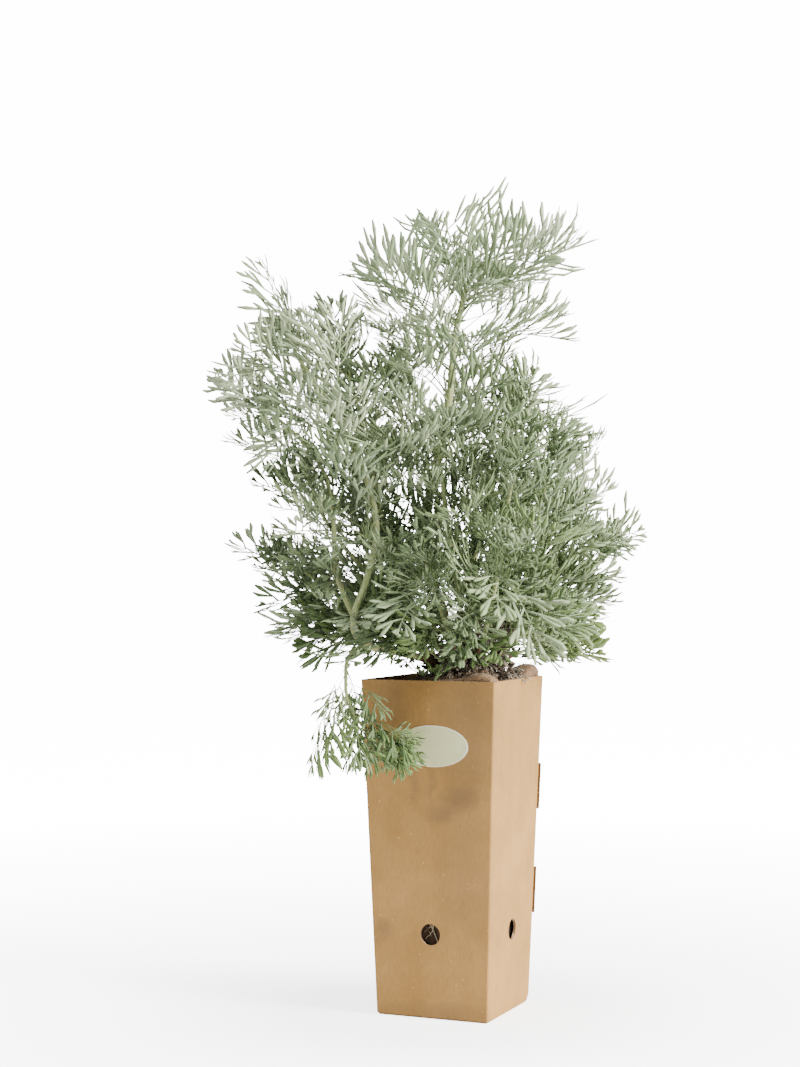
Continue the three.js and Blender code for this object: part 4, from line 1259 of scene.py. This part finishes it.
# The greener pair is the darker one. Through the tint's first share it marks older leaves low on the plant, and painted
# shade deep inside the crown.
greener = blend(foliage, parts[2], (0.055, 0.1, 0.022), (0.14, 0.215, 0.055))
skin = blend(foliage, parts[0], silver, greener)
skin = blend(foliage, ramp(foliage, parts[1], (0.0, 0.55), (0.45, 0.0)), skin, (0.21, 0.28, 0.09))
downy = ramp(foliage, grain(foliage, 0.9, spot, 4), (0.3, 0.78), (0.7, 1.12))
plug(foliage, blend(foliage, 1.0, skin, downy, "MULTIPLY"), foliage_shader.inputs["Base Color"])
bump(foliage, foliage_shader, grain(foliage, 0.5, spot, 3), 0.06)

stem_skin, stem_shader = new_finish("green_stem", Roughness=0.6, Specular_IOR_Level=0.3, Sheen_Weight=0.3, Sheen_Roughness=0.4)
stem_shader.inputs["Sheen Tint"].default_value = (0.9, 0.93, 0.85, 1)
spot = object_space(stem_skin)
streaks = grain(stem_skin, 0.8, object_space(stem_skin, (1, 1, 0.18)), 4)
fresh = ramp(stem_skin, streaks, (0.3, (0.24, 0.3, 0.1)), (0.7, (0.42, 0.48, 0.23)))
age = ramp(stem_skin, grain(stem_skin, 30, spot, 2), (0.4, 0.0), (0.75, 0.45))
plug(stem_skin, blend(stem_skin, age, fresh, (0.25, 0.17, 0.085)), stem_shader.inputs["Base Color"])
bump(stem_skin, stem_shader, streaks, 0.12)

# %% [markdown]
# ## More leaves than the frame holds
# The frame's solids carry the large leaves alone. The real plant is denser: between them stand
# smaller leaves, short side tufts grow in their axils, and every tip ends in a tuft of young ones that
# still fold upwards. These follow the same golden angle, with their own draws, and stay inside the
# plant's reach.


# %% Smaller leaves
def small_leaf(shoot, distance, heading, length, spread, droop, draw):
    """A leaf at a place of the stem, or None where it would leave the plant's reach."""
    stem = shoot["line"].length
    distance = min(distance, stem - 0.5)
    _, along, side, back = shoot["line"].at(distance)
    for shorter in (1, 0.8, 0.62):
        outward = turned(side, back, math.radians(heading))
        start = turned(along, outward, math.radians(spread))
        across = turn_about(np.cross(along, outward), start, math.radians(draw.uniform(-35, 35)))
        leaf = dict(root=shoot["line"].at(distance)[0], start=start, side=across, length=length * shorter, droop=droop,
                    share=distance / stem, distance=distance)
        corners = bend(leaf, [(leaf["length"] * a, leaf["length"] * b, 0) for a, b in ((1.07, 0), (0.85, 0.34), (0.85, -0.34), (0.5, 0.3), (0.5, -0.3))])
        if in_reach(corners, shoot.get("lowest", REACH["lowest"])):
            return leaf
    return None


def heading_to(shoot, distance, compass):
    """The heading on a stem that points to a side as seen from the front: 0 right, -90 to the front, 180 left."""
    _, _, side, back = shoot["line"].at(distance)
    way = math.radians(compass) + PLANT_TURN
    way = np.array((math.cos(way), math.sin(way), 0))
    return math.degrees(math.atan2(way @ back, way @ side))


def hanging(shoot, count, lengths, draw):
    """Leaves that arch over to the front and hang."""
    for _ in range(count):
        distance = shoot["line"].length * draw.uniform(0.3, 0.97)
        heading = heading_to(shoot, distance, draw.uniform(-160, -20))
        yield small_leaf(shoot, distance, heading, draw.uniform(*lengths), draw.uniform(45, 85), draw.uniform(0.5, 0.85), draw)


WINGS = [(26, 180, 84, 66), (34, 160, 76, 70), (30, -165, 80, 62), (38, 6, 80, 70), (42, -150, 72, 72)]
HANGING = dict(front_left=(9, (50, 72)), front_right=(3, (48, 66)), rim_front=(6, (40, 58)), left_low=(5, (44, 60)),
               trailing=(8, (32, 50)), left_arch=(7, (44, 62)))


def infill(shoot, draw):
    stem = shoot["line"].length
    count = shoot["leaves"]
    lowest = max(shoot["first"] * stem, shoot["foot"] + STEM_SINK)
    small = []
    for index in range(3 * count):
        share = (index + 0.5) / (3 * count)
        distance = between((lowest - 0.06 * stem, stem), 1 - (1 - share) ** 1.3)
        heading = 137.5 * index + shoot["phase"] + 68 + draw.uniform(-20, 20)
        length = between(shoot["size"], share) * draw.uniform(0.5, 0.86)
        spread = between(shoot["spread"], share) * draw.uniform(0.75, 1.15)
        small.append(small_leaf(shoot, distance, heading, length, spread, between(shoot["droop"], share) + 0.05, draw))
    for leaf in shoot["blades"][::2]:
        for turn in (-24, 28):
            _, along, side, back = shoot["line"].at(leaf["distance"])
            heading = math.degrees(math.atan2(leaf["start"] @ back, leaf["start"] @ side)) + turn
            small.append(small_leaf(shoot, leaf["distance"] + 1.5, heading, draw.uniform(20, 34), draw.uniform(16, 34), -0.1, draw))
    bare = lowest - 0.06 * stem
    if shoot["foot"] and shoot["name"] != "leader":
        for index in range(int(bare / 8)):
            share = draw.uniform(0.3, 1)
            heading = 137.5 * index + shoot["phase"]
            small.append(small_leaf(shoot, bare * share, heading, draw.uniform(30, 56), draw.uniform(30, 70), 0.25, draw))
    if shoot["name"] == "leader":
        for index in range(9):
            heading = 137.5 * index + 100
            small.append(small_leaf(shoot, stem - 2.5 * index, heading, draw.uniform(36, 52), draw.uniform(24, 66), 0.08, draw))
        for below, compass, length, spread in WINGS:
            heading = heading_to(shoot, stem - below, compass)
            small.append(small_leaf(shoot, stem - below, heading, length, spread, -0.02, draw))
    if shoot["name"] == "rim_front":
        for compass, rise, length in ((205, 0.9, 27), (250, 0.8, 23), (-60, 0.9, 22), (-15, 0.8, 26), (90, 1, 22)):
            way = math.radians(compass) + PLANT_TURN
            start = unit(np.array((math.cos(way), math.sin(way), rise)))
            leaf = dict(root=in_pot((-14, -22, 216)), start=start, side=unit(np.cross((0, 0, 1), start)))
            small.append(dict(leaf, length=length, droop=0.2, share=0, distance=0))
    if shoot["name"] in HANGING:
        small.extend(hanging(shoot, *HANGING[shoot["name"]], draw))
    for index in range(8):
        heading = 137.5 * index + 40
        small.append(small_leaf(shoot, stem - 0.9 * index, heading, draw.uniform(22, 38) * (0.7 + 0.05 * index), 8 + 5 * index, -0.12, draw))
    return [leaf for leaf in small if leaf]


# %% [markdown]
# ## A shoot
# A shoot's piece is its green stem and all its leaves. The stem is drawn out along its line. Each leaf
# is a copy of a flat kind, and its points are bent all at once with the rule from above. Points that
# belong to one leaf get one tint, greener low on the plant, greener and darker near the middle of the
# crown as painted shade, silvery at the tips.


# %% Dress the shoots
def green_and_shade_share(shoot, leaf, draw):
    height = (leaf["root"][2] - 230) / 260
    # Painted shade: leaves near the middle of the crown get more of the darker green, as if in the crown's own shade.
    inside = 1 - min(1, float(np.hypot(*leaf["root"][:2])) / 90)
    base = 0.62 - 0.66 * height + 0.4 * inside * (1 - height)
    base += 0.3 if shoot["name"] in ("trailing", "rim_right", "left_low", "rim_front") else 0
    return min(1, max(0, base + draw.uniform(-0.3, 0.3)))


def dress(name, members, draw):
    bm = bmesh.new()
    for shoot in members:
        start = shoot["foot"] - 3 if shoot["foot"] else 0
        stops = np.linspace(start, shoot["line"].length, max(6, round((shoot["line"].length - start) / 6)))
        points = [shoot["line"].at(stop)[0] for stop in stops]
        slim = 0.5 + 0.3 * shoot["radius"]
        widths = [max(1.25 * stem_radius(shoot, stop), slim) * (1 + 0.05 * math.sin(stop * 0.9)) for stop in stops]
        widths[-1] *= 0.6
        tube_along(bm, points, widths, 9)
    stem_faces, stem_points = len(bm.faces), len(bm.verts)
    batches = []
    for shoot in members:
        for leaf in shoot["blades"] + infill(shoot, draw):
            low = leaf["root"][2] < 262 + draw.uniform(-25, 25) and shoot["name"] != "trailing"
            style = "broad" if low else "fine"
            if shoot["name"] == "leader":
                leaf = dict(leaf, droop=leaf["droop"] + 0.24)
            pairs = 2 + sum(leaf["length"] > least for least in ((30,) if shoot["name"] == "trailing" else (30, 58, 84)))
            kind = draw.choice(LEAF_KINDS[style, pairs])
            batches.append((leaf, kind, green_and_shade_share(shoot, leaf, draw), draw.random()))
            bm.from_mesh(kind)
    mesh_points = len(bm.verts)
    for count, face in enumerate(bm.faces):
        face.material_index = 0 if count < stem_faces else 1
    places = np.array([vert.co for vert in bm.verts])
    tints = np.zeros((mesh_points, 4))
    tints[:, 3] = 1
    first = stem_points
    for leaf, kind, green, luck in batches:
        own = slice(first, first + len(kind.vertices))
        flat = places[own] * leaf["length"]
        tints[own, 0], tints[own, 1], tints[own, 2] = green, np.clip(places[own, 0], 0, 1), luck
        twist = math.sin(luck * 40) * 0.35
        flat[:, 2] += twist * flat[:, 1] * np.clip(places[own, 0], 0, 1) + 0.1 * np.abs(flat[:, 1]) * (luck + 0.3)
        places[own] = bend(leaf, flat)
        first += len(kind.vertices)
    for axis, (margin, give) in enumerate(((1, 0.3), (1, 0.2), (4, 0.4))):
        low, high = cad_box[0][axis] * 1000 - margin, cad_box[1][axis] * 1000 + margin
        places[:, axis] += (give - 1) * (np.clip(places[:, axis] - high, 0, None) - np.clip(low - places[:, axis], 0, None))
    for vert, place in zip(bm.verts, places):
        vert.co = place
    piece = keep(name, bm, [stem_skin, foliage], ["shoot_" + name])
    layer = piece.data.attributes.new("tint", "FLOAT_COLOR", "POINT")
    layer.data.foreach_set("color", tints.astype(np.float32).ravel())
    return len(batches)


leaf_count = 0
for order, shoot in enumerate(shoots):
    members = [member for member in shoots if member["owner"] == shoot["name"]]
    if members:
        leaf_count += dress(shoot["name"], members, random.Random(50 + order))
print("leaves on the plant:", leaf_count)
sizes = {o.name: sum(len(f.vertices) - 2 for f in o.data.polygons) for o in bpy.data.objects if o.type == "MESH"}
print("triangles:", sum(sizes.values()), sorted(sizes.items(), key=lambda item: -item[1])[:8])

# %% [markdown]
# ## Withered leaves
# Round the foot of the limbs hang last year's leaves: grey-brown, shrunk and curled inwards. They are
# copies of the same flat kinds, bent so far that they roll up, in a finish of dry brown.

# %% Withered leaves
dry, dry_shader = new_finish("withered_leaf", Roughness=0.85, Specular_IOR_Level=0.2, Sheen_Weight=0.1)
spot = object_space(dry)
dull = ramp(dry, grain(dry, 2.4, spot, 4), (0.3, (0.07, 0.05, 0.037)), (0.5, (0.2, 0.155, 0.115)), (0.7, (0.42, 0.36, 0.29)))
plug(dry, dull, dry_shader.inputs["Base Color"])
bump(dry, dry_shader, grain(dry, 0.7, spot, 3), 0.12)

withered = bmesh.new()
dry_draw = random.Random(21)
curled = []
for index in range(96):
    heading = 137.5 * index if index % 2 else dry_draw.uniform(-90, 20)
    outward = np.array((math.cos(math.radians(heading)), math.sin(math.radians(heading)), 0))
    height = dry_draw.uniform(222, 256)
    root = trunk_at + outward * dry_draw.uniform(3, 13) + np.array((0, 0, height))
    start = unit(outward + np.array((0, 0, dry_draw.uniform(-0.3, 1.2))))
    leaf = dict(root=root, start=start, side=np.cross((0, 0, 1), outward), length=dry_draw.uniform(15, 30),
                droop=dry_draw.uniform(0.3, 1.1))
    kind = dry_draw.choice(LEAF_KINDS["broad", 3] + LEAF_KINDS["fine", 3])
    curled.append((leaf, kind, dry_draw.uniform(0.4, 1.0)))
    withered.from_mesh(kind)
places = np.array([vert.co for vert in withered.verts])
first = 0
for leaf, kind, shrink in curled:
    own = slice(first, first + len(kind.vertices))
    flat = places[own] * leaf["length"]
    roll = flat[:, 1] * (3 / leaf["length"]) * 2
    flat[:, 2] += 0.35 * np.abs(flat[:, 1]) * np.sin(roll * 2 + shrink)
    flat[:, 1] *= 1 - 0.45 * shrink
    bent = bend(leaf, flat)
    bent += np.array([shake(point, 4, 1.6, 5) for point in bent])
    places[own] = bent
    first += len(kind.vertices)
for vert, place in zip(withered.verts, places):
    vert.co = place
    vert.co.z = max(vert.co.z, on_mat(vert.co.x, vert.co.y, 1) + 0.5)
keep("withered_leaves", withered, [dry], ["woody_crown"])

# %% [markdown]
# ## The floor of the studio
# A plain pale sheet under the pot. It isn't part of the object.

# %% Floor and finish
pale, pale_shader = new_finish("studio_floor", Roughness=0.7)
pale_shader.inputs["Base Color"].default_value = (0.93, 0.93, 0.93, 1)
pale_shader.inputs["Emission Color"].default_value = (1, 1, 1, 1)
off = add(pale, "VectorMath", {"operation": "LENGTH"}, _0=object_space(pale)).outputs["Value"]
fade = add(pale, "MapRange", Value=off, _1=0.1, _2=1.1, _3=3.5, _4=15).outputs[0]
seen = add(pale, "LightPath").outputs["Is Camera Ray"]
glow = add(pale, "Math", {"operation": "MULTIPLY"}, _0=fade, _1=seen).outputs[0]
plug(pale, glow, pale_shader.inputs["Emission Strength"])
ground = bmesh.new()
bmesh.ops.create_grid(ground, x_segments=1, y_segments=1, size=4)
ground_mesh = bpy.data.meshes.new("studio_floor")
ground.to_mesh(ground_mesh)
ground.free()
ground_mesh.materials.append(pale)
floor = bpy.data.objects.new("studio_floor", ground_mesh)
bpy.context.scene.collection.objects.link(floor)

for kinds in LEAF_KINDS.values():
    for mesh in kinds:
        bpy.data.meshes.remove(mesh)
for mesh in fibre_kinds + crumbs:
    bpy.data.meshes.remove(mesh)
